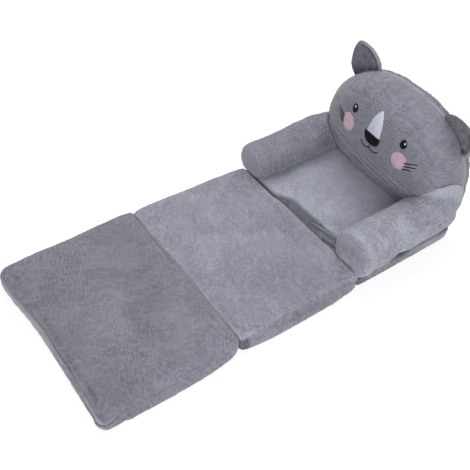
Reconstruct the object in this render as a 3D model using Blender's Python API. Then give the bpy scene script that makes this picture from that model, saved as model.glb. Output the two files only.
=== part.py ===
"""Kids flip open sofa: three plush panels that fold in a Z, with two bolster arms and a stuffed cat's head.

Lengths are in metres. +Z is up, the open panels run along Y with the head at +Y, and the face looks to -Y.
Right is +X, as seen by someone who faces the sofa. The seat panel stays put, the middle panel folds under it
about the fabric strip at the floor, and the end panel folds over the middle one about the strip on top.
"""

import math

import bmesh
import bpy
import numpy as np
from mathutils import Matrix

# Panels: plush cover, base sheet and foam slab, three alike
PANEL_WIDTH = 0.500
PANEL_PITCH = 0.380
PANEL_GAP = 0.002
PANEL_HEIGHT = 0.050
PANEL_CROWN = 0.004
CORNER_RADIUS = 0.022
EDGE_RADIUS = 0.008
DRAW_IN = 0.002
WALL_BULGE = 0.001
PLUSH_THICKNESS = 0.0025
BASE_THICKNESS = 0.0012
CLEARANCE = 0.0003
CROWN_POWER = 3.0
PANEL_LENGTH = PANEL_PITCH - PANEL_GAP - 2 * WALL_BULGE

# Fabric hinge strips and their axes
STRIP_THICKNESS = 0.0012
STRIP_DEPTH = 0.0025
FOLD_SLACK = 0.0005
FLOOR_AXIS_Z = -FOLD_SLACK
TOP_AXIS_Z = PANEL_HEIGHT + PANEL_CROWN + FOLD_SLACK

# Zips in the walls at -X
ZIP_LENGTH = 0.240
ZIP_WIDTH = 0.012
ZIP_THICKNESS = 0.0012
SLIDER_LENGTH = 0.012
SLIDER_WIDTH = 0.008
SLIDER_THICKNESS = 0.003
SLIDER_ROUND = 0.001

# Head: half sizes from its middle, which stands HEAD_CENTRE_RISE over the seat
HEAD_SIDE_SETBACK = 0.006
HEAD_HALF_WIDTH = PANEL_WIDTH / 2 - HEAD_SIDE_SETBACK
HEAD_TOP_RISE = 0.229
HEAD_LOWER_REACH = 0.200
HEAD_CENTRE_RISE = 0.095
HEAD_FRONT_DEPTH = 0.1225
HEAD_REAR_DEPTH = 0.060
HEAD_SEAM_SETBACK = 0.0155
HEAD_CHIN_HEIGHT = 0.160
HEAD_NAPE_HEIGHT = 0.095
HEAD_LEAN_SHARE = 0.094
HEAD_CHIN_SHARE = 0.40
HEAD_NAPE_SHARE = 0.50
HEAD_OUTLINE_POWER = 2.37
HEAD_FRONT_POWER = 3.0
HEAD_REAR_POWER = 4.3
HEAD_CHIN_POWER = 1.5
HEAD_NAPE_POWER = 2.0
SEAT_CLEARANCE = 0.0004
CUTTER_DROP = 0.010

# Arms: the right one is stuffed fuller than the left one
ARMS = {
    "right": {"side": 1, "half_width": 0.0690, "half_height": 0.0600, "squash": 0.0115, "overhang": 0.0265},
    "left": {"side": -1, "half_width": 0.0575, "half_height": 0.0500, "squash": 0.0140, "overhang": 0.0350},
}
ARM_FRONT_SETBACK = 0.0085
ARM_BACK_REACH = 0.004
ARM_BACK_TURN = 0.030
ARM_EDGE_ROUND = 0.012
ARM_DISC_BULGE = 0.003
ARM_SWELL_SHARE = 0.03
ARM_RIM_SHARE = 0.94
ARM_TURN_SHARE = 0.60
ARM_DOME_SHARE = 0.80
ARM_TIP_SHARE = 0.14

# Ears, sewn into the head's seam
EARS = {
    "right": {"side": 1, "tilt": 13.0},
    "left": {"side": -1, "tilt": 0.0},
}
EAR_SPREAD_SHARE = 0.676
EAR_HEIGHT = 0.092
EAR_HALF_WIDTH = 0.055
EAR_HALF_THICKNESS = 0.0075
EAR_CUP = 0.010
EAR_ROOT = 0.012
EAR_LEAN_IN = 0.015
EAR_BELLY_SHARE = 0.25
EAR_TIP_POWER = 1.9
EAR_TAPER_POWER = 0.72

# Face: embroidered patches and lines. Shares are of the head's half width and of its top's rise
PATCH_LIFT = 0.0005
PATCH_THICKNESS = 0.0009
EYE_PLACE_SHARES = (0.385, 0.616)
EYE_HALF_WIDTH = 0.0108
EYE_HALF_HEIGHT = 0.0124
GLINT_HALF_WIDTH = 0.0034
GLINT_HALF_HEIGHT = 0.0042
GLINT_OFFSET = 0.0025
CHEEK_PLACE_SHARES = (0.414, 0.384)
CHEEK_HALF_SHARES = (0.0922, 0.1092)
BLAZE_RISE_SHARE = 0.4825
BLAZE_HEIGHT = 0.070
BLAZE_HALF_WIDTH = 0.0240
BLAZE_SIDE_POWER = 2.6
BLAZE_TOP_POWER = 0.8
NOSE_HEIGHT = 0.033
NOSE_HALF_WIDTH = 0.0285
NOSE_SIDE_POWER = 0.8
LINE_RADIUS = 0.0010
PHILTRUM_LENGTH = 0.018
MOUTH_HALF_WIDTH = 0.033
MOUTH_SAG = 0.008
MOUTH_LIFT = 0.005
WHISKER_SHARES = (
    {"start": (0.508, 0.413), "end": (0.639, 0.467)},
    {"start": (0.516, 0.367), "end": (0.639, 0.410)},
    {"start": (0.516, 0.312), "end": (0.598, 0.345)},
)
WHISKER_RADIUS = 0.0012
WHISKER_TIP_SHARE = 0.35

# Where rings lie: on a panel's top from edge, 1, to middle, 0, along an arm from its front and along an ear
# from its root, and on flat round pieces from middle, 0, to rim, 1
TOP_SHARES = (1.0, 0.86, 0.66, 0.42, 0.18)
LINING_SHARES = (1.0, 0.66, 0.3)
ARM_SKIN_SHARES = (0.2, 0.4, 0.6, 0.7, 0.8, 0.86, 0.91, 0.95, 0.98, 1.0)
ARM_LINING_SHARES = (0.6, 0.7, 0.8, 0.9)
EAR_RING_SHARES = (0.0, 0.2, 0.4, 0.6, 0.78, 0.92, 0.985)
FLAT_RING_SHARES = (0.55, 1.0)

# Step counts of the curved surfaces
CORNER_STEPS = 4
SIDE_STEPS = 4
EDGE_STEPS = 3
HEAD_STEPS = 36
HEAD_FACE_STEPS = 9
HEAD_REAR_STEPS = 6
HEAD_LINING_STEPS = 5
ARM_STEPS = 24
EAR_STEPS = 16
PATCH_STEPS = 14
LINE_SIDES = 6
MOUTH_STEPS = 16
SHORT_LINE_STEPS = 4
STRIP_STEPS = 10

# Finishes, with colours as linear red, green and blue
SHARP_ANGLE = math.radians(40)
FINISHES = {
    "plush": {"colour": (0.200, 0.208, 0.240), "roughness": 0.95, "metallic": 0.0},
    "dark_plush": {"colour": (0.150, 0.150, 0.175), "roughness": 0.95, "metallic": 0.0},
    "foam": {"colour": (0.80, 0.74, 0.55), "roughness": 0.95, "metallic": 0.0},
    "fibre": {"colour": (0.85, 0.85, 0.85), "roughness": 0.95, "metallic": 0.0},
    "base_cloth": {"colour": (0.030, 0.030, 0.034), "roughness": 0.90, "metallic": 0.0},
    "zip_tape": {"colour": (0.10, 0.10, 0.12), "roughness": 0.60, "metallic": 0.0},
    "slider_metal": {"colour": (0.30, 0.30, 0.32), "roughness": 0.35, "metallic": 0.9},
    "black_thread": {"colour": (0.006, 0.006, 0.008), "roughness": 0.60, "metallic": 0.0},
    "white_thread": {"colour": (0.85, 0.85, 0.88), "roughness": 0.60, "metallic": 0.0},
    "pink_felt": {"colour": (0.56, 0.36, 0.43), "roughness": 0.80, "metallic": 0.0},
    "lilac_satin": {"colour": (0.55, 0.54, 0.66), "roughness": 0.50, "metallic": 0.0},
}

# The open sofa is centred on the origin, so the seat's back edge lies half the object's length to +Y
OPEN_LENGTH = 3 * PANEL_PITCH + HEAD_REAR_DEPTH - HEAD_SEAM_SETBACK
BACK_EDGE_Y = OPEN_LENGTH / 2 - HEAD_REAR_DEPTH + HEAD_SEAM_SETBACK
SEAT_CENTRE_Y = BACK_EDGE_Y - PANEL_PITCH / 2
SEAT_FRONT_Y = SEAT_CENTRE_Y - PANEL_LENGTH / 2
MIDDLE_HINGE_Y = BACK_EDGE_Y - PANEL_PITCH
END_HINGE_Y = BACK_EDGE_Y - 2 * PANEL_PITCH
HEAD_SEAM_Y = BACK_EDGE_Y - HEAD_SEAM_SETBACK
HEAD_CENTRE_Z = PANEL_HEIGHT + HEAD_CENTRE_RISE
ARM_FRONT_Y = SEAT_FRONT_Y + ARM_FRONT_SETBACK
ARM_LENGTH = BACK_EDGE_Y + ARM_BACK_REACH - ARM_FRONT_Y
BLAZE_RISE = BLAZE_RISE_SHARE * HEAD_TOP_RISE
ZIP_MIDDLE_Z = (PANEL_HEIGHT - EDGE_RADIUS) / 2


def clear_scene():
    for obj in list(bpy.data.objects):
        bpy.data.objects.remove(obj, do_unlink=True)


def finish(obj, kind):
    """Gives the object a Principled material of its own and smooth shading."""
    values = FINISHES[kind]
    material = bpy.data.materials.new(obj.name)
    material.use_nodes = True
    shader = material.node_tree.nodes["Principled BSDF"]
    shader.inputs["Base Color"].default_value = (*values["colour"], 1.0)
    shader.inputs["Roughness"].default_value = values["roughness"]
    shader.inputs["Metallic"].default_value = values["metallic"]
    obj.data.materials.append(material)
    obj.data.shade_smooth()
    obj.data.set_sharp_from_angle(angle=SHARP_ANGLE)
    return obj


def loft(name, rings):
    """Closed mesh through rings of equally many points, with a fan to a middle point at both ends."""
    rings = np.asarray(rings, float)
    count, around = rings.shape[:2]
    points = np.vstack([rings.reshape(-1, 3), rings[0].mean(axis=0), rings[-1].mean(axis=0)])
    first_pole, last_pole = len(points) - 2, len(points) - 1
    faces = []
    for ring in range(count - 1):
        for step in range(around):
            following = (step + 1) % around
            low, high = ring * around, (ring + 1) * around
            faces.append((low + step, low + following, high + following, high + step))
    for step in range(around):
        following = (step + 1) % around
        last = (count - 1) * around
        faces.append((first_pole, following, step))
        faces.append((last_pole, last + step, last + following))
    mesh = bpy.data.meshes.new(name)
    mesh.from_pydata(points.tolist(), [], faces)
    shape = bmesh.new()
    shape.from_mesh(mesh)
    bmesh.ops.recalc_face_normals(shape, faces=shape.faces)
    bmesh.ops.triangulate(shape, faces=shape.faces, quad_method="SHORT_EDGE")
    shape.to_mesh(mesh)
    shape.free()
    obj = bpy.data.objects.new(name, mesh)
    bpy.context.scene.collection.objects.link(obj)
    return obj


def hide_cutter(obj):
    obj.hide_render = True
    obj.display_type = "WIRE"
    return obj


def boolean(obj, other, operation):
    modifier = obj.modifiers.new(other.name, "BOOLEAN")
    modifier.operation = operation
    modifier.solver = "EXACT"
    modifier.object = other


def signed_power(value, power):
    return np.sign(value) * np.abs(value) ** power


def around_angles(steps):
    return np.arange(steps) * 2 * math.pi / steps


def panel_crown(x, y_from_middle):
    """Height of a panel's puffed top over its seams: full in the middle, nothing at the edges."""
    across = 1 - np.minimum(np.abs(x) / (PANEL_WIDTH / 2), 1) ** CROWN_POWER
    along = 1 - np.minimum(np.abs(y_from_middle) / (PANEL_LENGTH / 2), 1) ** CROWN_POWER
    return PANEL_CROWN * across * along


def seat_top(x, y):
    return PANEL_HEIGHT + panel_crown(x, y - SEAT_CENTRE_Y)


def drawn_in(share):
    """How far a side is pulled in at this share of its length."""
    return DRAW_IN * 4 * share * (1 - share)


def panel_outline(inset):
    """Plan of a panel: round corners, with sides that draw in between them."""
    half = np.array([PANEL_WIDTH / 2, PANEL_LENGTH / 2])
    radius = CORNER_RADIUS - inset
    points = []
    for quarter in range(4):
        start = quarter * math.pi / 2
        signs = np.sign([math.cos(start + math.pi / 4), math.sin(start + math.pi / 4)])
        centre = signs * (half - CORNER_RADIUS)
        for step in range(CORNER_STEPS + 1):
            angle = start + step * math.pi / 2 / CORNER_STEPS
            points.append(centre + radius * np.array([math.cos(angle), math.sin(angle)]))
        corner_end = points[-1]
        outward = np.array([math.cos(start + math.pi / 2), math.sin(start + math.pi / 2)])
        turned = np.array([-outward[1], outward[0]])
        run = 2 * (half - CORNER_RADIUS)[0 if quarter % 2 == 0 else 1]
        for step in range(1, SIDE_STEPS):
            share = step / SIDE_STEPS
            points.append(corner_end + turned * run * share - outward * drawn_in(share))
    return np.array(points)


def panel_ring(inset, height, scale=1.0, follow_crown=False, outward=0.0):
    """One ring of a panel round its own middle, at a height, or on the puffed top less the inset."""
    outline = panel_outline(inset - outward) * scale
    heights = np.full(len(outline), height)
    if follow_crown:
        heights = heights + panel_crown(outline[:, 0], outline[:, 1])
    return np.column_stack([outline, heights])


def panel_skin(inset, bottom, edge_steps, top_shares):
    """Rings from the foot of the wall, round the top edge and in to the middle of the top."""
    radius = EDGE_RADIUS - inset
    shoulder = PANEL_HEIGHT - EDGE_RADIUS
    rings = [panel_ring(inset, bottom), panel_ring(inset, shoulder / 2, outward=WALL_BULGE)]
    for step in range(edge_steps):
        angle = step * math.pi / 2 / edge_steps
        ring_inset = inset + radius * (1 - math.cos(angle))
        rings.append(panel_ring(ring_inset, shoulder + radius * math.sin(angle)))
    for share in top_shares:
        rings.append(panel_ring(inset + radius, PANEL_HEIGHT - inset, share, follow_crown=True))
    return rings


def moved(rings, y):
    return np.asarray(rings) + np.array([0.0, y, 0.0])


def make_panel(name, y):
    """A panel's cover, an open tray of plush, with its base sheet and its foam slab inside."""
    outer = panel_skin(0.0, 0.0, EDGE_STEPS, TOP_SHARES)[::-1]
    inner = panel_skin(PLUSH_THICKNESS, 0.0, 1, LINING_SHARES)
    cover = finish(loft(f"{name}_cover", moved(outer + inner, y)), "plush")
    sheet_inset = PLUSH_THICKNESS + CLEARANCE
    sheet_rings = [panel_ring(sheet_inset, 0.0), panel_ring(sheet_inset, BASE_THICKNESS)]
    sheet = finish(loft(f"{name}_base_sheet", moved(sheet_rings, y)), "base_cloth")
    foam_bottom = BASE_THICKNESS + CLEARANCE
    foam_rings = panel_skin(sheet_inset, foam_bottom, 1, LINING_SHARES)
    foam = finish(loft(f"{name}_foam_core", moved(foam_rings, y)), "foam")
    return [cover, sheet, foam]


def strip_half_width(x, depth):
    """Half the gap between two panels at this depth under their seams, less the clearance."""
    run = PANEL_WIDTH - 2 * CORNER_RADIUS
    slope = EDGE_RADIUS - min(depth, EDGE_RADIUS)
    rounding = EDGE_RADIUS - math.sqrt(EDGE_RADIUS**2 - slope**2)
    half_gap = (PANEL_PITCH - PANEL_LENGTH) / 2
    return half_gap + drawn_in((x + run / 2) / run) + rounding - CLEARANCE


def make_strip(name, y, z_top, depth):
    """A fabric hinge strip, sewn between two panels along their straight edges."""
    run = PANEL_WIDTH - 2 * CORNER_RADIUS
    low = z_top - STRIP_THICKNESS
    rings = []
    for x in np.linspace(-run / 2, run / 2, STRIP_STEPS + 1):
        half = strip_half_width(x, depth)
        rings.append([(x, y - half, low), (x, y + half, low), (x, y + half, z_top), (x, y - half, z_top)])
    return finish(loft(name, rings), "dark_plush")


def zip_wall_x(y_from_middle, z):
    """Where the wall at -X stands: drawn in along its length, and bulged at half its height."""
    run = PANEL_LENGTH - 2 * CORNER_RADIUS
    bulge = WALL_BULGE * (1 - abs(z - ZIP_MIDDLE_Z) / ZIP_MIDDLE_Z)
    return -PANEL_WIDTH / 2 + drawn_in((y_from_middle + run / 2) / run) - bulge


def make_zip(name, y):
    """The closed zip in a panel's wall at -X, and its slider without a pull tab at the zip's front end."""
    low, high = ZIP_MIDDLE_Z - ZIP_WIDTH / 2, ZIP_MIDDLE_Z + ZIP_WIDTH / 2
    rings = []
    for along in np.linspace(-ZIP_LENGTH / 2, ZIP_LENGTH / 2, STRIP_STEPS + 1):
        place = y + along
        inner = zip_wall_x(along, ZIP_MIDDLE_Z) - CLEARANCE
        outer = inner - ZIP_THICKNESS
        rings.append([(inner, place, low), (outer, place, low), (outer, place, high), (inner, place, high)])
    tape = finish(loft(f"{name}_zip", rings), "zip_tape")
    slider_along = -ZIP_LENGTH / 2 + SLIDER_LENGTH / 2
    face = zip_wall_x(-ZIP_LENGTH / 2, ZIP_MIDDLE_Z) - 2 * CLEARANCE - ZIP_THICKNESS
    shape = bmesh.new()
    bmesh.ops.create_cube(shape, size=1.0)
    bmesh.ops.scale(shape, vec=(SLIDER_THICKNESS, SLIDER_LENGTH, SLIDER_WIDTH), verts=shape.verts)
    mesh = bpy.data.meshes.new(f"{name}_zip_slider")
    shape.to_mesh(mesh)
    shape.free()
    slider = bpy.data.objects.new(mesh.name, mesh)
    bpy.context.scene.collection.objects.link(slider)
    slider.location = (face - SLIDER_THICKNESS / 2, y + slider_along, ZIP_MIDDLE_Z)
    rounding = slider.modifiers.new("rounding", "BEVEL")
    rounding.width = SLIDER_ROUND
    rounding.segments = 1
    finish(slider, "slider_metal")
    return tape, slider


def head_point(theta, phi, side, inset, drop=0.0):
    """Points of the head's skin. Theta runs round its outline, and phi from the seam, 0, to a side's middle.

    The outline is a rounded oval cut flat by the seat. Towards the middle of the front or rear the ring
    shrinks by cos(phi) to a power and swells by sin(phi) to the same one. Chin and nape draw it in low down.
    """
    power = HEAD_FRONT_POWER if side < 0 else HEAD_REAR_POWER
    depth = (HEAD_FRONT_DEPTH if side < 0 else HEAD_REAR_DEPTH) - inset
    shrink = math.cos(phi) ** (2 / power)
    swell = math.sin(phi) ** (2 / power)
    around, over = np.cos(theta), np.sin(theta)
    rise = np.where(over > 0, HEAD_TOP_RISE, HEAD_LOWER_REACH) - inset
    x = (HEAD_HALF_WIDTH - inset) * signed_power(around, 2 / HEAD_OUTLINE_POWER) * shrink
    z = HEAD_CENTRE_Z + rise * signed_power(over, 2 / HEAD_OUTLINE_POWER) * shrink
    foot = PANEL_HEIGHT + SEAT_CLEARANCE + inset - drop
    z = np.maximum(z, foot)
    height = np.maximum(z - PANEL_HEIGHT, 0)
    if side < 0:
        slack = np.clip(1 - height / HEAD_CHIN_HEIGHT, 0, 1) ** HEAD_CHIN_POWER
        fullness = 1 - HEAD_CHIN_SHARE * slack
    else:
        slack = np.clip(1 - height / HEAD_NAPE_HEIGHT, 0, 1) ** HEAD_NAPE_POWER
        fullness = 1 - HEAD_NAPE_SHARE * slack
    y = HEAD_SEAM_Y - HEAD_LEAN_SHARE * (z - HEAD_CENTRE_Z) + side * depth * swell * fullness
    z = np.maximum(z, foot + panel_crown(x, y - SEAT_CENTRE_Y))
    return np.column_stack([x, y, z])


def head_rings(side, inset, steps, drop=0.0):
    """Rings of one side of the head, from near the middle out to the seam."""
    theta = around_angles(HEAD_STEPS)
    phis = math.pi / 2 * (1 - np.arange(1, steps + 2) / (steps + 1))
    return [head_point(theta, phi, side, inset, drop) for phi in phis]


def closed_head(name, inset, steps, drop=0.0):
    front = head_rings(-1, inset, steps, drop)
    rear = head_rings(1, inset, steps, drop)
    return loft(name, front + rear[-2::-1])


def make_head():
    """Front and rear panels, thin shells that meet at the seam, round a filling. Returns their cutter."""
    for name, side, steps in (("head_front", -1, HEAD_FACE_STEPS), ("head_rear", 1, HEAD_REAR_STEPS)):
        outer = head_rings(side, 0.0, steps)
        inner = head_rings(side, PLUSH_THICKNESS, HEAD_LINING_STEPS)[::-1]
        shell = moved(outer + inner, side * CLEARANCE / 2)
        finish(loft(name, shell), "plush")
    filling = closed_head("head_filling", PLUSH_THICKNESS + CLEARANCE, HEAD_LINING_STEPS)
    finish(filling, "fibre")
    return hide_cutter(closed_head("head_cutter", -SEAT_CLEARANCE, HEAD_FACE_STEPS, CUTTER_DROP))


def arm_ring(arm, share, scale, inset):
    """One section of an arm: an oval with its foot pressed flat on the seat, turned in towards the back."""
    angle = around_angles(ARM_STEPS)
    turn = max((share - ARM_TURN_SHARE) / (1 - ARM_TURN_SHARE), 0) ** 2
    centre = PANEL_WIDTH / 2 + arm["overhang"] - arm["half_width"] - ARM_BACK_TURN * turn
    x = arm["side"] * (centre + (arm["half_width"] * scale - inset) * np.cos(angle))
    y = ARM_FRONT_Y + ARM_LENGTH * share
    middle = PANEL_HEIGHT + arm["half_height"] - arm["squash"]
    z = middle + (arm["half_height"] * scale - inset) * np.sin(angle)
    foot = seat_top(x, y) + SEAT_CLEARANCE + inset
    return np.column_stack([x, np.full(ARM_STEPS, y), np.maximum(z, foot)])


def arm_scale(share):
    """A slight swell along the arm, a rounded front edge and a domed back end."""
    edge = ARM_EDGE_ROUND / ARM_LENGTH
    swell = 1 + ARM_SWELL_SHARE * math.sin(math.pi * share)
    if share < edge:
        return ARM_RIM_SHARE + (swell - ARM_RIM_SHARE) * math.sqrt(1 - (1 - share / edge) ** 2)
    if share > ARM_DOME_SHARE:
        along = (share - ARM_DOME_SHARE) / (1 - ARM_DOME_SHARE)
        return swell * max(math.sqrt(1 - along**2), ARM_TIP_SHARE)
    return swell


def make_arm(name, arm, cutter):
    """Sleeve of plush closed in front by a round disc, and a fibre filling, both cut by the head."""
    edge = ARM_EDGE_ROUND / ARM_LENGTH
    skin_shares = (0.0, edge / 4, edge) + ARM_SKIN_SHARES
    plain_shares = (0.0, edge) + ARM_LINING_SHARES
    outer = [arm_ring(arm, share, arm_scale(share), 0.0) for share in skin_shares]
    inner = [arm_ring(arm, share, arm_scale(share), PLUSH_THICKNESS) for share in plain_shares]
    sleeve = loft(f"{name}_arm_sleeve", outer[::-1] + inner)
    filling_inset = PLUSH_THICKNESS + CLEARANCE
    stuffing = [arm_ring(arm, share, arm_scale(share), filling_inset) for share in plain_shares]
    filling = loft(f"{name}_arm_filling", stuffing)
    for obj in (sleeve, filling):
        boolean(obj, cutter, "DIFFERENCE")
    rim = arm_ring(arm, 0.0, ARM_RIM_SHARE, 0.0)
    middle = np.array([rim[:, 0].mean(), rim[0, 1] - CLEARANCE, (rim[:, 2].min() + rim[:, 2].max()) / 2])
    back_rings, front_rings = [], []
    for share in FLAT_RING_SHARES:
        ring = middle + (rim - middle) * share
        ring[:, 1] = middle[1] - ARM_DISC_BULGE * (1 - share**2)
        back_rings.append(ring)
        front_rings.append(ring - np.array([0.0, PLUSH_THICKNESS, 0.0]))
    disc = loft(f"{name}_arm_disc", front_rings + back_rings[::-1])
    finish(sleeve, "plush")
    finish(filling, "fibre")
    finish(disc, "plush")


def make_ear(name, ear, cutter):
    """A leaf of plush that grips the head's seam: oval sections that narrow to a tip, cupped to the front."""
    upward = (1 - EAR_SPREAD_SHARE**HEAD_OUTLINE_POWER) ** (1 / HEAD_OUTLINE_POWER)
    root = np.array([HEAD_HALF_WIDTH * EAR_SPREAD_SHARE, HEAD_TOP_RISE * upward])
    slope_power = HEAD_OUTLINE_POWER - 1
    normal = np.array([EAR_SPREAD_SHARE**slope_power / HEAD_HALF_WIDTH, upward**slope_power / HEAD_TOP_RISE])
    normal /= np.linalg.norm(normal)
    tangent = np.array([normal[1], -normal[0]])
    root_y = HEAD_SEAM_Y - HEAD_LEAN_SHARE * root[1]
    angle = around_angles(EAR_STEPS)
    tilt = math.radians(ear["tilt"])
    rings = []
    for share in (-EAR_ROOT / EAR_HEIGHT, *EAR_RING_SHARES):
        above = max(share, 0)
        narrowing = (1 - abs(share) ** EAR_TIP_POWER) ** EAR_TAPER_POWER
        half_width = EAR_HALF_WIDTH * narrowing * (1 + EAR_BELLY_SHARE * above * (1 - above))
        half_thickness = EAR_HALF_THICKNESS * math.sqrt(narrowing)
        outward = EAR_HEIGHT * share
        side = half_width * np.cos(angle) - EAR_LEAN_IN * above
        cup = EAR_CUP * np.sin(angle) ** 2 * narrowing
        forward = half_thickness * np.sin(angle) + cup - outward * math.sin(tilt)
        out = outward * math.cos(tilt)
        x = ear["side"] * (root[0] + normal[0] * out + tangent[0] * side)
        z = HEAD_CENTRE_Z + root[1] + normal[1] * out + tangent[1] * side
        rings.append(np.column_stack([x, root_y + forward, z]))
    obj = loft(f"{name}_ear", rings)
    boolean(obj, cutter, "DIFFERENCE")
    finish(obj, "dark_plush")


def face_y(x, rise, lift):
    """The Y of a point this far in front of the face, at a place measured from the head's middle."""
    reach = np.where(rise > 0, HEAD_TOP_RISE, HEAD_LOWER_REACH)
    across, up = np.abs(x) / HEAD_HALF_WIDTH, np.abs(rise) / reach
    shrink = (across**HEAD_OUTLINE_POWER + up**HEAD_OUTLINE_POWER) ** (1 / HEAD_OUTLINE_POWER)
    swell = (1 - shrink**HEAD_FRONT_POWER) ** (1 / HEAD_FRONT_POWER)
    slack = np.clip(1 - (rise + HEAD_CENTRE_RISE) / HEAD_CHIN_HEIGHT, 0, 1) ** HEAD_CHIN_POWER
    depth = HEAD_FRONT_DEPTH * swell * (1 - HEAD_CHIN_SHARE * slack)
    return HEAD_SEAM_Y - HEAD_LEAN_SHARE * rise - depth - CLEARANCE / 2 - lift


def on_face(outline, lift):
    """Points on the face under a flat outline of places across and up."""
    x, rise = outline[:, 0], outline[:, 1]
    return np.column_stack([x, face_y(x, rise, lift), HEAD_CENTRE_Z + rise])


def face_place(shares):
    """A place across and up from the head's middle, from shares of its half width and its top's rise."""
    return np.array(shares) * np.array([HEAD_HALF_WIDTH, HEAD_TOP_RISE])


def make_patch(name, outline, kind, lift=PATCH_LIFT):
    """A sewn patch of even thickness that follows the face."""
    centre = outline.mean(axis=0)
    flat_rings = [centre + (outline - centre) * share for share in FLAT_RING_SHARES]
    front = [on_face(ring, lift + PATCH_THICKNESS) for ring in flat_rings]
    back = [on_face(ring, lift) for ring in flat_rings[::-1]]
    finish(loft(name, front + back), kind)


def oval(middle, half_width, half_height):
    angle = around_angles(PATCH_STEPS)
    return middle + np.column_stack([half_width * np.cos(angle), half_height * np.sin(angle)])


def blaze_outline():
    """A tongue: straight along the nose, with sides that bow out and close in a round top."""
    share = np.linspace(0, 1, PATCH_STEPS // 2)
    half = BLAZE_HALF_WIDTH * (1 - share**BLAZE_SIDE_POWER) ** BLAZE_TOP_POWER
    rise = BLAZE_RISE + BLAZE_HEIGHT * share
    right = np.column_stack([half, rise])
    left = np.column_stack([-half[:-1], rise[:-1]])[::-1]
    return np.vstack([right, left])


def nose_outline():
    """A flat-topped half round."""
    angle = np.linspace(math.pi, 2 * math.pi, PATCH_STEPS)
    top = BLAZE_RISE - CLEARANCE
    x = NOSE_HALF_WIDTH * signed_power(np.cos(angle), NOSE_SIDE_POWER)
    return np.column_stack([x, top + NOSE_HEIGHT * np.sin(angle)])


def make_line(name, path, radii):
    """A raised line of stitching: a tube that lies on the face along a path of places across and up."""
    path = np.asarray(path, float)
    radii = np.broadcast_to(radii, len(path))
    heading = np.gradient(path, axis=0)
    heading /= np.linalg.norm(heading, axis=1)[:, None]
    angle = around_angles(LINE_SIDES)
    rings = []
    for place, ahead, radius in zip(path, heading, radii):
        beside = np.array([-ahead[1], ahead[0]])
        flat = place + radius * np.cos(angle)[:, None] * beside
        ring = on_face(flat, PATCH_LIFT + radius)
        ring[:, 1] -= radius * np.sin(angle)
        rings.append(ring)
    return finish(loft(name, rings), "black_thread")


def make_mouth():
    """Two shallow bows under the nose, joined to the short line that drops from it."""
    share = np.linspace(-1, 1, MOUTH_STEPS + 1)
    x = MOUTH_HALF_WIDTH * share
    top = BLAZE_RISE - CLEARANCE - NOSE_HEIGHT
    bottom = top - PHILTRUM_LENGTH
    bow = -MOUTH_SAG * np.sin(math.pi * np.abs(share)) + MOUTH_LIFT * share**2
    mouth = make_line("mouth_line", np.column_stack([x, bottom + bow]), LINE_RADIUS)
    rises = np.linspace(top - LINE_RADIUS - CLEARANCE, bottom - LINE_RADIUS / 2, SHORT_LINE_STEPS)
    drop = make_line("mouth_drop", np.column_stack([rises * 0, rises]), LINE_RADIUS)
    boolean(mouth, hide_cutter(drop), "UNION")


def make_face():
    for name, side in (("right", 1), ("left", -1)):
        mirror = np.array([side, 1.0])
        eye = face_place(EYE_PLACE_SHARES) * mirror
        make_patch(f"{name}_eye", oval(eye, EYE_HALF_WIDTH, EYE_HALF_HEIGHT), "black_thread")
        glint = eye + np.array([GLINT_OFFSET / 2, GLINT_OFFSET])
        glint_lift = 2 * PATCH_LIFT + PATCH_THICKNESS
        glint_outline = oval(glint, GLINT_HALF_WIDTH, GLINT_HALF_HEIGHT)
        make_patch(f"{name}_eye_glint", glint_outline, "white_thread", glint_lift)
        cheek = face_place(CHEEK_PLACE_SHARES) * mirror
        make_patch(f"{name}_cheek", oval(cheek, *face_place(CHEEK_HALF_SHARES)), "pink_felt")
        for number, ends in enumerate(WHISKER_SHARES, 1):
            path = np.linspace(face_place(ends["start"]), face_place(ends["end"]), SHORT_LINE_STEPS)
            radii = WHISKER_RADIUS * np.linspace(1, WHISKER_TIP_SHARE, SHORT_LINE_STEPS)
            make_line(f"{name}_whisker_{number}", path * mirror, radii)
    make_patch("blaze", blaze_outline(), "lilac_satin")
    make_patch("nose", nose_outline(), "black_thread")
    make_mouth()


def make_pivot(name, y, z, parent=None):
    pivot = bpy.data.objects.new(name, None)
    bpy.context.scene.collection.objects.link(pivot)
    place = np.array([0.0, y, z])
    if parent is None:
        pivot.location = place
        return pivot, place
    carrier, carrier_place = parent
    pivot.parent = carrier
    pivot.location = place - carrier_place
    return pivot, place


def hang(objects, pivot):
    """Puts the objects' origins on the pivot's axis and makes them its children, where they lie."""
    carrier, place = pivot
    for obj in objects:
        offset = np.array(obj.location) - place
        obj.data.transform(Matrix.Translation(offset))
        obj.location = (0.0, 0.0, 0.0)
        obj.parent = carrier


def main():
    clear_scene()
    floor_pivot = make_pivot("middle_pivot", MIDDLE_HINGE_Y, FLOOR_AXIS_Z)
    top_pivot = make_pivot("end_pivot", END_HINGE_Y, TOP_AXIS_Z, floor_pivot)
    carriers = {"seat": None, "middle": floor_pivot, "end": top_pivot}
    for number, (name, pivot) in enumerate(carriers.items()):
        y = SEAT_CENTRE_Y - number * PANEL_PITCH
        objects = make_panel(name, y)
        tape, slider = make_zip(name, y)
        objects.append(tape)
        if pivot:
            hang(objects, pivot)
            slider.parent = pivot[0]
            slider.location = np.array(slider.location) - pivot[1]
    make_strip("middle_hinge_strip", MIDDLE_HINGE_Y, STRIP_THICKNESS + CLEARANCE, EDGE_RADIUS)
    top_strip_z = PANEL_HEIGHT - STRIP_DEPTH
    top_strip = make_strip("end_hinge_strip", END_HINGE_Y, top_strip_z, STRIP_DEPTH + STRIP_THICKNESS)
    hang([top_strip], floor_pivot)
    cutter = make_head()
    for name, arm in ARMS.items():
        make_arm(name, arm, cutter)
    for name, ear in EARS.items():
        make_ear(name, ear, cutter)
    make_face()


main()
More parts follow.
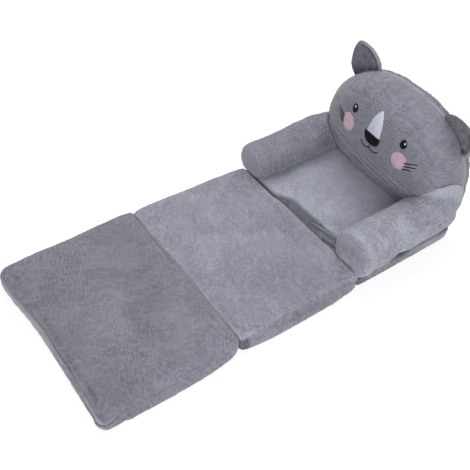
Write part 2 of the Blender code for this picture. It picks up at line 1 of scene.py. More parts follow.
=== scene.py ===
"""Looks of the kids' flip open sofa: plush panels, head, arms, ears, embroidered face, zips and stage.

Lengths are in metres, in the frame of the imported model: +Z up, the open panels along Y with the head at +Y,
and the face looking to -Y. Every padded piece starts as a closed form worked out on a grid, is run as cloth,
and then gets its seams, gathers and folds.
"""

import math

import bpy
import numpy as np
from bpy.props import FloatProperty, FloatVectorProperty, PointerProperty
from mathutils import Matrix, Vector


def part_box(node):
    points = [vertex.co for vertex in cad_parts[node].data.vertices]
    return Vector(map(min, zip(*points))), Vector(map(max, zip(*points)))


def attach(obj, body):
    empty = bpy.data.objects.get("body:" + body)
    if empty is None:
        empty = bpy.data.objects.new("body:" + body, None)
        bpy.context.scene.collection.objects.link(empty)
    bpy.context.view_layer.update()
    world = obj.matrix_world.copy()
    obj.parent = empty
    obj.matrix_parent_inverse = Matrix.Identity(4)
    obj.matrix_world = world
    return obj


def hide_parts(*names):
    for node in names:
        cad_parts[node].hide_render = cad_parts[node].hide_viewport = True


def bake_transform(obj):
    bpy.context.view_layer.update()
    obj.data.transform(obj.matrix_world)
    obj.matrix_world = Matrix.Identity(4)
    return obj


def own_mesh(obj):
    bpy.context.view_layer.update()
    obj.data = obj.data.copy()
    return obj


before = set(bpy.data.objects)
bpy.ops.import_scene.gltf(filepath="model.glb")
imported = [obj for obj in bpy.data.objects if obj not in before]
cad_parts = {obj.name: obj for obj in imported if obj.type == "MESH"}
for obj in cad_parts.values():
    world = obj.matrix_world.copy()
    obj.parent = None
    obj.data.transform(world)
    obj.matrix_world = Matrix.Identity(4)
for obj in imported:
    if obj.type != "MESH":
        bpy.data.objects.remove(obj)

bl_info = {
    "name": "Kids flip open sofa",
    "version": (1, 0, 0),
    "blender": (4, 5, 0),
    "location": "3D View > Sidebar > Sofa",
    "description": "Builds the plush pieces, trims and stage of a folding children's sofa",
    "category": "Add Mesh",
}

# Panels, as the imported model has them
PANEL_WIDTH = 0.500
PANEL_PITCH = 0.380
PANEL_LENGTH = 0.376
PANEL_HEIGHT = 0.050
PANEL_CROWN = 0.004
CROWN_POWER = 3.0
CORNER_RADIUS = 0.022
EDGE_RADIUS = 0.008
FOOT_RADIUS = 0.003
DRAW_IN = 0.002
WALL_BULGE = 0.001
TOP_LIMIT = 0.0544
WALL_LIMIT = 0.1897
PANELS = {
    "seat": {"y": 0.35775, "seed": 11},
    "middle": {"y": -0.02225, "seed": 23},
    "end": {"y": -0.40225, "seed": 37},
}
FOAM_PLAN_SHARES = (0.960, 0.965, 1.0)
FOAM_HEIGHT_SHARES = (1.0, 1.0, 0.80)
FOAM_LIFT = 0.0036
FLOOR_HINGE = (0.16775, -0.0005)
TOP_HINGE = (-0.21225, 0.0545)

# Head
HEAD_HALF_WIDTH = 0.244
HEAD_TOP_RISE = 0.229
HEAD_LOWER_REACH = 0.200
HEAD_CENTRE_Z = 0.145
HEAD_SEAM_Y = 0.53225
HEAD_FRONT_DEPTH = 0.1225
HEAD_REAR_DEPTH = 0.060
HEAD_LEAN_SHARE = 0.094
HEAD_SEAM_GAP = 0.0024
HEAD_FILLING_INSET = 0.007
HEAD_OUTLINE_POWER = 2.37
HEAD_FRONT_POWER = 3.0
HEAD_REAR_POWER = 4.3
SEAM_BACK = 0.022

# Where the head is drawn in low down: share of its depth, height over the seat and power of the fall
CHIN = (0.40, 0.160, 1.5)
NAPE = (0.50, 0.095, 2.0)
SEAT_CLEARANCE = 0.0004

# Arms
ARMS = {
    "right": dict(side=1, half_width=0.0690, half_height=0.0600, squash=0.0115, overhang=0.0265, seed=51),
    "left": dict(side=-1, half_width=0.0575, half_height=0.0500, squash=0.0140, overhang=0.0350, seed=67),
}
ARM_FRONT_Y = 0.17825
ARM_LENGTH = 0.3735
ARM_BACK_TURN = 0.030
ARM_EDGE_ROUND = 0.020
ARM_DISC_BULGE = 0.003
ARM_SEAM_GAP = 0.0026
ARM_SWELL_SHARE = 0.03
ARM_RIM_SHARE = 0.86
ARM_TURN_SHARE = 0.60
ARM_DOME_SHARE = 0.80
ARM_TIP_SHARE = 0.14
ARM_FILLING_SHARES = (0.80, 0.30)
ARM_FILLING_GAPS = (0.008, 0.040)

# Ears
EARS = {
    "right": dict(side=1, tilt=18.0, lean_in=-0.006, height=0.085, slide=0.011, widen=1.06, seed=81),
    "left": dict(side=-1, tilt=0.0, lean_in=0.001, height=0.089, slide=0.0, widen=1.0, seed=95),
}
EAR_SPREAD_SHARE = 0.676
EAR_HALF_WIDTH = 0.061
EAR_HALF_THICKNESS = 0.0075
EAR_CUP = 0.010
EAR_ROOT = 0.020
EAR_BELLY_SHARE = 0.15
EAR_TIP_POWER = 1.9
EAR_TAPER_POWER = 0.60

# Face: places as shares of the head's half width and of its top's rise
EYE_PLACE_SHARES = (0.385, 0.616)
EYE_HALF = (0.0114, 0.0140)
EYE_DRIFT = (0.0046, 0.0000)
GLINT_HALF = (0.0023, 0.0030)
GLINT_OFFSET = (0.0018, 0.0045)
GLINT_SPREAD = 0.0022
CHEEK_PLACE_SHARES = (0.414, 0.384)
CHEEK_HALF = (0.0250, 0.0278)
BLAZE_RISE = 0.1105
BLAZE_HEIGHT = 0.0735
BLAZE_HALF_WIDTH = 0.0250
BLAZE_SIDE_POWER = 1.6
BLAZE_TOP_POWER = 0.62
NOSE_HEIGHT = 0.0345
NOSE_HALF_WIDTH = 0.0305
NOSE_MIDDLE_X = -0.0015
NOSE_SIDE_POWER = 0.72
LINE_RADIUS = 0.0016
PHILTRUM_LENGTH = 0.0135
MOUTH_MIDDLE_X = -0.0045
MOUTH_HALF_WIDTH = 0.0355
MOUTH_SAG = 0.008
MOUTH_LIFT = 0.0065
WHISKERS = (
    {"start": (0.508, 0.413), "end": (0.639, 0.467)},
    {"start": (0.508, 0.367), "end": (0.636, 0.417)},
    {"start": (0.500, 0.322), "end": (0.598, 0.355)},
)
WHISKER_RADIUS = 0.0021
WHISKER_TIP_SHARE = 0.5

# Zips in the walls at -X
ZIP_LENGTH = 0.240
ZIP_WIDTH = 0.012
ZIP_MIDDLE_Z = 0.021
COIL_WIRE_RADIUS = 0.00032
COIL_HALF_WIDTH = 0.0021
COIL_STEPS = 10

# Cloth
CLOTH_FRAMES = 20


def signed_power(value, power):
    return np.sign(value) * np.abs(value) ** power


def smooth_step(value):
    value = np.clip(value, 0, 1)
    return value * value * (3 - 2 * value)


def rising(value, start, width):
    """0 up to start and 1 from start + width on, with a smooth step between."""
    return smooth_step((value - start) / width)


def falling(value, end, width):
    """1 up to end - width and 0 from end on, with a smooth step between."""
    return smooth_step((end - value) / width)


def hump(value, middle, width):
    """1 at the middle, and less on both sides as exp(-(distance / width)^2)."""
    return np.exp(-(((value - middle) / width) ** 2))


# Forms: grids, rings and their meshes


def square_grid(columns, rows):
    """Shares u and v from -1 to 1 on a grid of columns by rows cells."""
    return np.meshgrid(np.linspace(-1, 1, columns + 1), np.linspace(-1, 1, rows + 1), indexing="ij")


def border(columns, rows):
    """Grid indices once round the border, anticlockwise from the lowest corner."""
    across, up = np.arange(columns), np.arange(rows)
    i = np.concatenate([across, np.full(rows, columns), columns - across, np.zeros(rows, int)])
    j = np.concatenate([np.zeros(columns, int), up, np.full(columns, rows), rows - up])
    return i, j


def disc_places(u, v):
    """Level and angle of a square's points on a disc: level is max(|u|, |v|), and the angle is that of
    the point (a sqrt(1 - b^2 / 2), b sqrt(1 - a^2 / 2)) where (a, b) is (u, v) carried out to the border."""
    level = np.maximum(np.abs(u), np.abs(v))
    safe = np.where(level > 0, level, 1)
    a, b = u / safe, v / safe
    return level, np.arctan2(b * np.sqrt(1 - a * a / 2), a * np.sqrt(1 - b * b / 2))


def grid_quads(place):
    """Quads between the numbers of a grid of points."""
    return np.stack([place[:-1, :-1], place[1:, :-1], place[1:, 1:], place[:-1, 1:]], -1).reshape(-1, 4)


def closed_form(front, rings, back):
    """Points, quads and part numbers of a closed form: a front grid (part 0), rings that run on from its
    border (part 1) and a back grid (part 2)."""
    columns, rows = front.shape[0] - 1, front.shape[1] - 1
    i, j = border(columns, rows)
    rings = np.asarray(rings, float).reshape(-1, len(i), 3)
    count, ringed = front[:, :, 0].size, len(rings) * len(i)
    place = np.arange(count).reshape(columns + 1, rows + 1)
    quads = grid_quads(place)
    middle = count + np.arange(ringed).reshape(len(rings), len(i))
    loops = np.vstack([place[i, j][None], middle, count + ringed + place[i, j][None]])
    low, high = loops[:-1], loops[1:]
    walls = np.stack([low, high, np.roll(high, -1, 1), np.roll(low, -1, 1)], -1).reshape(-1, 4)
    points = np.vstack([front.reshape(-1, 3), rings.reshape(-1, 3), back.reshape(-1, 3)])
    faces = np.vstack([quads, walls, quads[:, ::-1] + count + ringed])
    parts = np.repeat([0, 1, 2], [len(quads), len(walls), len(quads)])
    return points, faces, parts


def new_mesh(name, points, faces, parts=None, fields=None):
    """A mesh from arrays, with part numbers as material indices and named values on its points."""
    mesh = bpy.data.meshes.new(name)
    if isinstance(faces, np.ndarray):
        faces = faces.tolist()
    mesh.from_pydata(np.asarray(points).tolist(), [], faces)
    if parts is not None:
        mesh.polygons.foreach_set("material_index", np.asarray(parts, np.int32))
    for field, values in (fields or {}).items():
        layer = mesh.attributes.new(field, "FLOAT", "POINT")
        layer.data.foreach_set("value", np.asarray(values, np.float32))
    mesh.update()
    return mesh


def new_object(name, mesh):
    obj = bpy.data.objects.new(name, mesh)
    bpy.context.scene.collection.objects.link(obj)
    return obj


def drop_object(obj):
    mesh = obj.data
    bpy.data.objects.remove(obj, do_unlink=True)
    bpy.data.meshes.remove(mesh)


def mesh_points(mesh, what="co"):
    values = np.empty(len(mesh.vertices) * 3, np.float32)
    mesh.vertices.foreach_get(what, values)
    return values.reshape(-1, 3).astype(float)


def refined(points, faces, parts, fields):
    """The form after one smooth subdivision: points, normals, quads, part numbers and named values."""
    obj = new_object("form", new_mesh("form", points, faces, parts, fields))
    for _ in range(3):
        obj.data.materials.append(None)
    step = obj.modifiers.new("smooth", "SUBSURF")
    step.levels = step.render_levels = 1
    mesh = obj.evaluated_get(bpy.context.evaluated_depsgraph_get()).to_mesh()
    quads = np.empty(len(mesh.loops), np.int32)
    mesh.loops.foreach_get("vertex_index", quads)
    numbers = np.empty(len(mesh.polygons), np.int32)
    mesh.polygons.foreach_get("material_index", numbers)
    values = {}
    for field in fields:
        values[field] = np.empty(len(mesh.vertices), np.float32)
        mesh.attributes[field].data.foreach_get("value", values[field])
    result = mesh_points(mesh), mesh_points(mesh, "normal"), quads.reshape(-1, 4), numbers, values
    obj.to_mesh_clear()
    drop_object(obj)
    return result


def normals_of(points, faces):
    """Unit normals at points: the sum of the cross products of the diagonals of the quads round each."""
    corner = points[faces]
    across = np.cross(corner[:, 2] - corner[:, 0], corner[:, 3] - corner[:, 1])
    total = np.stack(
        [np.bincount(faces.ravel(), np.repeat(across[:, k], 4), minlength=len(points)) for k in range(3)], -1
    )
    return total / np.maximum(np.linalg.norm(total, axis=1), 1e-12)[:, None]


def averaged(values, faces, rounds):
    """Values on points after so many rounds of moving half way to the mean of their neighbours."""
    ahead = np.concatenate([faces.ravel(), np.roll(faces, 1, 1).ravel()])
    other = np.concatenate([np.roll(faces, 1, 1).ravel(), faces.ravel()])
    counts = np.maximum(np.bincount(ahead, minlength=len(values)), 1)[:, None]
    for _ in range(rounds):
        total = np.stack(
            [np.bincount(ahead, values[other, k], minlength=len(values)) for k in range(values.shape[1])], -1
        )
        values = (values + total / counts) / 2
    return values


def run_as_cloth(points, faces, sewn, pressure, spare, seed):
    """Where the points go when the form is run as cloth that is cut too large by a share, spare, and
    blown up by pressure, while the points marked as sewn stay in place."""
    rough = np.random.default_rng(seed).normal(0, 0.0004, len(points))
    start = points + normals_of(points, faces) * np.where(sewn, 0, rough)[:, None]
    obj = new_object("cloth", new_mesh("cloth", start, faces))
    group = obj.vertex_groups.new(name="sewn")
    group.add(np.nonzero(sewn)[0].tolist(), 1.0, "REPLACE")
    cloth = obj.modifiers.new("cloth", "CLOTH")
    settings = cloth.settings
    settings.quality = 5
    settings.mass = 0.15
    settings.air_damping = 2.0
    settings.tension_stiffness = settings.compression_stiffness = 12.0
    settings.shear_stiffness = 6.0
    settings.bending_stiffness = 0.35
    settings.vertex_group_mass = group.name
    settings.use_pressure = True
    settings.uniform_pressure_force = pressure
    settings.shrink_min = -spare
    settings.effector_weights.gravity = 0.0
    cloth.collision_settings.use_collision = False
    cloth.collision_settings.use_self_collision = False
    cloth.point_cache.frame_start = 1
    cloth.point_cache.frame_end = CLOTH_FRAMES
    scene = bpy.context.scene
    for number in range(1, CLOTH_FRAMES + 1):
        scene.frame_set(number)
    moved = obj.evaluated_get(bpy.context.evaluated_depsgraph_get()).to_mesh()
    result = mesh_points(moved)
    obj.to_mesh_clear()
    drop_object(obj)
    scene.frame_set(1)
    return result


def puckered(points, faces, sewn, pressure, spare, seed, gain, cap, rounds=14):
    """The form with the creases that the cloth run gives it. The run's slow swelling is taken out, so the
    form keeps its size, and the creases are scaled by gain and held to cap, along the normals."""
    moved = run_as_cloth(points, faces, sewn, pressure, spare, seed) - points
    crease = moved - averaged(moved, faces, rounds)
    normal = normals_of(points, faces)
    depth = (crease * normal).sum(1) * gain
    depth = cap * np.tanh(depth / cap)
    return points + normal * np.where(sewn, 0, depth)[:, None]


def waves(points, length, seed, count=9):
    """Slow uneven swelling between about -1 and 1: a sum of sine waves of about this length, in random
    directions with random phases."""
    random = np.random.default_rng(seed)
    turn = random.normal(size=(count, 3))
    turn *= (2 * math.pi / (length * random.uniform(0.7, 1.5, count)) / np.linalg.norm(turn, axis=1))[:, None]
    phase = random.uniform(0, 2 * math.pi, count)
    return np.sin(np.asarray(points) @ turn.T + phase).sum(-1) / math.sqrt(count / 2) / 2


def gathers(along, length, seed):
    """Gathers of cloth along a seam: round crests with sharp valleys, from 0 to -1, about this far apart."""
    random = np.random.default_rng(seed)
    total = 0
    for share in (1.0, 0.72, 1.37):
        total = total + np.sin(2 * math.pi * along / (length * share) + random.uniform(0, 2 * math.pi))
    return -np.abs(total / 3) ** 0.7


def folds(points, lines):
    """How far creases push points out: each line is (start, end, width, depth), a valley for a negative
    depth and a ridge for a positive one, with soft shoulders of the other sign and ends that fade out."""
    total = np.zeros(len(points))
    for start, end, width, depth in lines:
        start, end = np.array(start), np.array(end)
        run = end - start
        share = np.clip((points - start) @ run / (run @ run), 0, 1)
        far = np.linalg.norm(points - start - share[:, None] * run, axis=1) / width
        fade = np.sqrt(np.clip(4 * share * (1 - share), 0, 1)) * 0.8 + 0.2
        total += depth * fade * (1 - 0.9 * far**2) * np.exp(-(far**2))
    return total


def hollows(points, faces, normal, rounds=7, depth=0.0005):
    """1 in valleys and -1 on ridges: tanh of how far the mean of a point's surroundings lies above it."""
    return np.tanh(((averaged(points, faces, rounds) - points) * normal).sum(1) / depth)


def seam_profile(distance, width, depth):
    """A sewn seam: a narrow valley with a low swelling on each side."""
    far = distance / width
    return -depth * np.exp(-(far**2)) + 0.45 * depth * np.exp(-((np.abs(far) - 2.2) ** 2))


def cut_out(points, faces, fields, keep):
    """Only the chosen faces, with the points that they use and their values."""
    used, numbers = np.unique(faces[keep], return_inverse=True)
    return points[used], numbers.reshape(-1, faces.shape[1]), {f: v[used] for f, v in fields.items()}


def finish_piece(name, points, faces, material, body, replaces=(), fields=None, skin=0.0):
    """Makes the piece's object with its material, its body and the node that it stands for. An open skin
    gets its thickness inward."""
    obj = new_object(name, new_mesh(name, points, faces, None, fields))
    obj.data.materials.append(material)
    obj.data.shade_smooth()
    if skin:
        wall = obj.modifiers.new("thickness", "SOLIDIFY")
        wall.thickness = skin
        wall.offset = -1.0
    if body:
        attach(obj, body)
    if replaces:
        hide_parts(*replaces)
    return obj


def pressed_by_arms(obj, name):
    """The end panel reaches the arms when it lies folded on the middle panel. Here its pieces
    only get meshes of their own."""
    if name == "end":
        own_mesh(obj)


# Materials


def node(tree, kind, inputs=None, **settings):
    """A node with its settings, and inputs given as values or as sockets to link from."""
    made = tree.nodes.new(kind)
    for key, value in settings.items():
        setattr(made, key, value)
    for key, value in (inputs or {}).items():
        if isinstance(value, bpy.types.NodeSocket):
            tree.links.new(value, made.inputs[key])
        else:
            made.inputs[key].default_value = value
    return made


def new_group(name, inputs, outputs):
    """An empty shader node group with named inputs and outputs, and its two end nodes."""
    group = bpy.data.node_groups.new(name, "ShaderNodeTree")
    kinds = {float: "NodeSocketFloat", tuple: "NodeSocketColor", None: "NodeSocketVector"}
    for label, value in inputs.items():
        kind = kinds[None if value is None else type(value)]
        socket = group.interface.new_socket(label, in_out="INPUT", socket_type=kind)
        if value is not None:
            socket.default_value = value
    for label, kind in outputs.items():
        group.interface.new_socket(label, in_out="OUTPUT", socket_type=kinds[kind])
    return group, group.nodes.new("NodeGroupInput"), group.nodes.new("NodeGroupOutput")


def math_node(tree, operation, first, second, clamp=False):
    made = node(tree, "ShaderNodeMath", {0: first, 1: second}, operation=operation, use_clamp=clamp)
    return made.outputs[0]


def mix_colours(tree, factor, first, second, blend="MIX"):
    """A mix of two colours, each given as a socket or as three shares."""
    first, second = (c if isinstance(c, bpy.types.NodeSocket) else (*c, 1.0) for c in (first, second))
    inputs = {0: factor, 6: first, 7: second}
    made = node(tree, "ShaderNodeMix", inputs, data_type="RGBA", blend_type=blend, clamp_factor=True)
    return made.outputs[2]


def noise(tree, place, scale, detail=2.0, roughness=0.5, distortion=0.0):
    inputs = {"Vector": place, "Scale": scale, "Detail": detail, "Roughness": roughness}
    inputs["Distortion"] = distortion
    return node(tree, "ShaderNodeTexNoise", inputs).outputs["Fac"]


def spread(tree, value, low, high, start=0.0, end=1.0):
    """The value carried from low..high to start..end, held at both ends."""
    inputs = {"From Min": low, "From Max": high, "To Min": start, "To Max": end, "Value": value}
    return node(tree, "ShaderNodeMapRange", inputs).outputs["Result"]


def scaled_place(tree, place, scale, turn=(0.0, 0.0, 0.0)):
    inputs = {"Vector": place, "Scale": scale, "Rotation": turn}
    return node(tree, "ShaderNodeMapping", inputs).outputs["Vector"]


def build_nap_group():
    """Brushed pile: wide patches where it lies one way or the other, short brush strokes, and single
    fibres. Puts out its colour and its height."""
    group, given, made = new_group(
        "Brushed pile",
        {
            "Place": None,
            "Light": (0.25, 0.26, 0.30, 1.0),
            "Dark": (0.17, 0.175, 0.20, 1.0),
            "Tint": (0.20, 0.18, 0.21, 1.0),
            "Patch scale": 9.0,
            "Contrast": 1.0,
            "Ripple": 0.4,
        },
        {"Colour": tuple, "Height": float},
    )
    place = given.outputs["Place"]
    wide = noise(group, place, given.outputs["Patch scale"], 3.0, 0.55, 0.8)
    stroke_scale = math_node(group, "MULTIPLY", given.outputs["Patch scale"], 3.6)
    turned = scaled_place(group, place, (1.0, 2.2, 1.6), (0.0, 0.0, 0.5))
    strokes = noise(group, turned, stroke_scale, 4.0, 0.6, 1.2)
    streaked = scaled_place(group, place, (2.1, 1.0, 1.0), (0.0, 0.0, 0.35))
    specks = noise(group, streaked, 150.0, 3.0, 0.7, 0.9)
    fibres = noise(group, scaled_place(group, place, (1.0, 1.7, 1.3)), 950.0, 2.0, 0.6, 0.4)
    patches = spread(group, wide, 0.32, 0.68)
    stroked = spread(group, strokes, 0.32, 0.68)
    ruffled = spread(group, noise(group, place, 26.0, 2.0, 0.5, 0.7), 0.35, 0.65, 0.30, 0.80)
    specked = math_node(group, "MULTIPLY", spread(group, specks, 0.36, 0.64, -0.5, 0.5), ruffled)
    total = math_node(group, "MULTIPLY", spread(group, patches, 0.0, 1.0, -0.5, 0.5), 0.38)
    stroked = math_node(group, "MULTIPLY", spread(group, stroked, 0.0, 1.0, -0.5, 0.5), 0.42)
    total = math_node(group, "ADD", total, stroked)
    centred = math_node(group, "ADD", total, specked)
    ripple_place = math_node(group, "MULTIPLY", noise(group, place, 11.0, 2.0, 0.5, 0.6), 14.0)
    ripples = node(
        group, "ShaderNodeTexWave",
        {"Vector": scaled_place(group, place, (1.0, 0.8, 1.0)), "Scale": 30.0, "Distortion": 9.0,
         "Detail": 3.0, "Detail Scale": 1.8, "Detail Roughness": 0.65, "Phase Offset": ripple_place},
    ).outputs["Fac"]
    rippled = spread(group, noise(group, place, 6.0, 2.0, 0.5, 0.5), 0.42, 0.62, 0.0, given.outputs["Ripple"])
    ripples = math_node(group, "MULTIPLY", math_node(group, "SUBTRACT", ripples, 0.5), rippled)
    centred = math_node(group, "ADD", centred, ripples)
    strong = math_node(group, "MULTIPLY", centred, given.outputs["Contrast"])
    factor = math_node(group, "ADD", strong, 0.5, clamp=True)
    colour = mix_colours(group, factor, given.outputs["Dark"], given.outputs["Light"])
    warm = spread(group, noise(group, place, 14.0, 2.0, 0.5, 0.9), 0.48, 0.72, 0.0, 0.55)
    colour = mix_colours(group, warm, colour, given.outputs["Tint"])
    group.links.new(colour, made.inputs["Colour"])
    height = math_node(group, "MULTIPLY", fibres, 0.5)
    height = math_node(group, "ADD", height, math_node(group, "MULTIPLY", specks, 0.5))
    height = math_node(group, "ADD", height, math_node(group, "MULTIPLY", strokes, 0.9))
    group.links.new(height, made.inputs["Height"])
    return group


def build_stitch_group():
    """Rows of satin stitch: fine parallel threads across, each round on top and a little uneven, with a
    painted gleam on the crests and painted shade in the valleys between threads.
    """
    group, given, made = new_group(
        "Satin stitch",
        {
            "Place": None,
            "Threads per metre": 2400.0,
            "Colour": (0.01, 0.01, 0.012, 1.0),
            "Gleam": 0.6,
            "Valley tone": 0.55,
        },
        {"Colour": tuple, "Height": float},
    )
    wave = node(
        group,
        "ShaderNodeTexWave",
        {"Distortion": 1.4, "Detail": 2.0, "Detail Scale": 1.6},
        wave_type="BANDS",
        bands_direction="DIAGONAL",
    )
    group.links.new(given.outputs["Place"], wave.inputs["Vector"])
    threads = math_node(group, "MULTIPLY", given.outputs["Threads per metre"], 0.16)
    group.links.new(threads, wave.inputs["Scale"])
    mottle = noise(group, given.outputs["Place"], 420.0, 3.0, 0.6)
    lift = math_node(group, "MULTIPLY", wave.outputs["Fac"], given.outputs["Gleam"])
    uneven = math_node(group, "MULTIPLY", mottle, lift)
    dark = mix_colours(group, given.outputs["Valley tone"], (0.0, 0.0, 0.0), given.outputs["Colour"])
    light = mix_colours(group, 1.0, given.outputs["Colour"], (0.03, 0.03, 0.034), "ADD")
    group.links.new(mix_colours(group, uneven, dark, light), made.inputs["Colour"])
    group.links.new(wave.outputs["Fac"], made.inputs["Height"])
    return group


def new_material(name, roughness, sheen=0.0, sheen_roughness=0.5, specular=0.35, metallic=0.0):
    """A new material's nodes: its tree, its Principled shader, and Object coordinates to build on."""
    material = bpy.data.materials.new(name)
    material.use_nodes = True
    tree = material.node_tree
    shader = tree.nodes["Principled BSDF"]
    shader.inputs["Roughness"].default_value = roughness
    shader.inputs["Metallic"].default_value = metallic
    shader.inputs["Specular IOR Level"].default_value = specular
    shader.inputs["Sheen Weight"].default_value = sheen
    shader.inputs["Sheen Roughness"].default_value = sheen_roughness
    place = node(tree, "ShaderNodeTexCoord").outputs["Object"]
    return tree, shader, place


def bump(tree, shader, height, distance, strength=1.0):
    made = node(tree, "ShaderNodeBump", {"Height": height, "Distance": distance, "Strength": strength})
    tree.links.new(made.outputs["Normal"], shader.inputs["Normal"])


def field(tree, name):
    return node(tree, "ShaderNodeAttribute", attribute_type="GEOMETRY", attribute_name=name).outputs["Fac"]


def paint_plush(
    name, group, light, dark, tint, patch_scale, contrast, shift=(0.0, 0.0, 0.0), turn=(0.0, 0.0, 0.0),
    ripple=0.0, painted_shade_strength=0.5,
):
    """Short pile of one colour: brushed patches, with painted shade where the mesh's crease value is above 0
    and a painted highlight where it is below 0.
    """
    tree, shader, place = new_material(name, 0.92, 0.55, 0.35, 0.15)
    given = {"Vector": place, "Location": shift, "Rotation": turn}
    moved = node(tree, "ShaderNodeMapping", given).outputs["Vector"]
    given = {
        "Place": moved,
        "Light": (*light, 1.0),
        "Dark": (*dark, 1.0),
        "Tint": (*tint, 1.0),
        "Patch scale": patch_scale,
        "Contrast": contrast,
        "Ripple": ripple,
    }
    nap = node(tree, "ShaderNodeGroup", given, node_tree=group)
    # Painted shade: a crease value above 0 mixes the pile towards near black. Painted highlight: below 0 it
    # mixes towards a paler pile.
    shade = math_node(tree, "MULTIPLY", field(tree, "crease"), painted_shade_strength, clamp=True)
    painted_highlight = math_node(tree, "MULTIPLY", field(tree, "crease"), -0.55, clamp=True)
    colour = mix_colours(tree, painted_highlight, nap.outputs["Colour"], 1.45 * light)
    colour = mix_colours(tree, shade, colour, (0.055, 0.055, 0.065))
    tree.links.new(colour, shader.inputs["Base Color"])
    bump(tree, shader, nap.outputs["Height"], 0.0022, 0.7)


def paint_stitched(
    name, group, colour, threads=2400.0, gleam=0.3, roughness=0.6, specular=0.15, valley=0.55, edge=None
):
    """Satin-stitch embroidery in one colour of thread, with a paler line round its rim if edge is given."""
    tree, shader, place = new_material(name, roughness, 0.0, 0.5, specular)
    given = {
        "Place": place,
        "Threads per metre": threads,
        "Colour": (*colour, 1.0),
        "Gleam": gleam,
        "Valley tone": valley,
    }
    stitch = node(tree, "ShaderNodeGroup", given, node_tree=group)
    tone = stitch.outputs["Colour"]
    if edge:
        tone = mix_colours(tree, spread(tree, field(tree, "rim"), 0.90, 0.97), tone, edge)
    tree.links.new(tone, shader.inputs["Base Color"])
    bump(tree, shader, stitch.outputs["Height"], 0.0004, 0.5)


def paint_satin(name, group, left, right, softness=0.006):
    """Woven satin with a painted gleam that changes at its middle line: one tone to the left of it, one to
    the right.
    """
    tree, shader, place = new_material(name, 0.42, 0.15, 0.4, 0.4)
    x = node(tree, "ShaderNodeSeparateXYZ", {"Vector": place}).outputs["X"]
    wander = math_node(tree, "SUBTRACT", noise(tree, place, 60.0, 2.0), 0.5)
    wander = math_node(tree, "MULTIPLY", wander, 0.012)
    side = spread(tree, math_node(tree, "ADD", x, wander), -softness, softness)
    tone = mix_colours(tree, side, left, right)
    given = {"Place": place, "Colour": tone, "Threads per metre": 3200.0, "Gleam": 0.25}
    stitch = node(tree, "ShaderNodeGroup", given, node_tree=group)
    rubbing_and_highlight = spread(tree, noise(tree, place, 140.0, 3.0, 0.6), 0.35, 0.75, 0.0, 0.5)
    tree.links.new(mix_colours(tree, rubbing_and_highlight, tone, stitch.outputs["Colour"]), shader.inputs["Base Color"])
    bump(tree, shader, stitch.outputs["Height"], 0.0003, 0.25)


def paint_felt(name, colour, edge):
    """Short felt: speckled, and darker towards the rim of the patch, which the mesh's rim value gives."""
    tree, shader, place = new_material(name, 0.88, 0.25, 0.5, 0.15)
    grain = noise(tree, place, 520.0, 3.0, 0.65)
    cloud = noise(tree, place, 90.0, 2.0, 0.5, 0.6)
    tone = mix_colours(tree, spread(tree, cloud, 0.3, 0.7, 0.0, 0.55), colour, edge)
    rim = spread(tree, field(tree, "rim"), 0.72, 1.0, 0.0, 0.75)
    tone = mix_colours(tree, rim, tone, edge)
    pale = mix_colours(tree, spread(tree, grain, 0.45, 0.8, 0.0, 0.35), tone, (0.80, 0.70, 0.75))
    tree.links.new(pale, shader.inputs["Base Color"])
    bump(tree, shader, grain, 0.0006, 0.5)


def paint_weave(name, light, dark, scale, roughness=0.8):
    """Plain weave or ribs: two crossed sets of bands, with loose tone changes between threads."""
    tree, shader, place = new_material(name, roughness, 0.1, 0.5, 0.25)
    bands = []
    for direction in ("Y", "Z", "X"):
        given = {"Vector": place, "Scale": scale, "Distortion": 0.6, "Detail": 1.0}
        wave = node(tree, "ShaderNodeTexWave", given, bands_direction=direction)
        bands.append(wave.outputs["Fac"])
    high = math_node(tree, "MAXIMUM", bands[0], bands[1])
    high = math_node(tree, "MULTIPLY", high, bands[2])
    mottle = noise(tree, place, scale * 1.3, 3.0, 0.6)
    factor = math_node(tree, "MULTIPLY", high, spread(tree, mottle, 0.2, 0.8, 0.4, 1.0), clamp=True)
    tree.links.new(mix_colours(tree, factor, dark, light), shader.inputs["Base Color"])
    bump(tree, shader, high, 0.0004, 0.6)


def paint_dotted(name, cloth, dot, spacing=0.008):
    """Non-woven base cloth: pressed fibres under a grid of raised grip dots."""
    tree, shader, place = new_material(name, 0.85, 0.0, 0.5, 0.25)
    given = {"Vector": place, "Scale": 1 / spacing, "Randomness": 0.0}
    cells = node(tree, "ShaderNodeTexVoronoi", given, voronoi_dimensions="2D")
    dots = spread(tree, cells.outputs["Distance"], 0.22, 0.27, 1.0, 0.0)
    fibre = noise(tree, place, 700.0, 4.0, 0.7, 1.0)
    base = mix_colours(tree, fibre, cloth, tuple(0.55 * c for c in cloth))
    tree.links.new(mix_colours(tree, dots, base, dot), shader.inputs["Base Color"])
    tree.links.new(spread(tree, dots, 0.0, 1.0, 0.88, 0.5), shader.inputs["Roughness"])
    dots = math_node(tree, "MULTIPLY", dots, 1.0)
    height = math_node(tree, "ADD", dots, math_node(tree, "MULTIPLY", fibre, 0.2))
    bump(tree, shader, height, 0.0006, 0.6)


def paint_metal(name, light, dark):
    """Brushed metal with fine scratches along Y and rubbed, brighter patches at random."""
    tree, shader, place = new_material(name, 0.35, 0.0, 0.5, 0.5, 0.9)
    brushed = noise(tree, scaled_place(tree, place, (6.0, 0.4, 6.0)), 900.0, 4.0, 0.7)
    dull = noise(tree, place, 240.0, 2.0, 0.5, 0.4)
    tree.links.new(mix_colours(tree, spread(tree, dull, 0.3, 0.7), dark, light), shader.inputs["Base Color"])
    tree.links.new(spread(tree, brushed, 0.3, 0.7, 0.28, 0.45), shader.inputs["Roughness"])
    bump(tree, shader, brushed, 0.00005, 0.5)
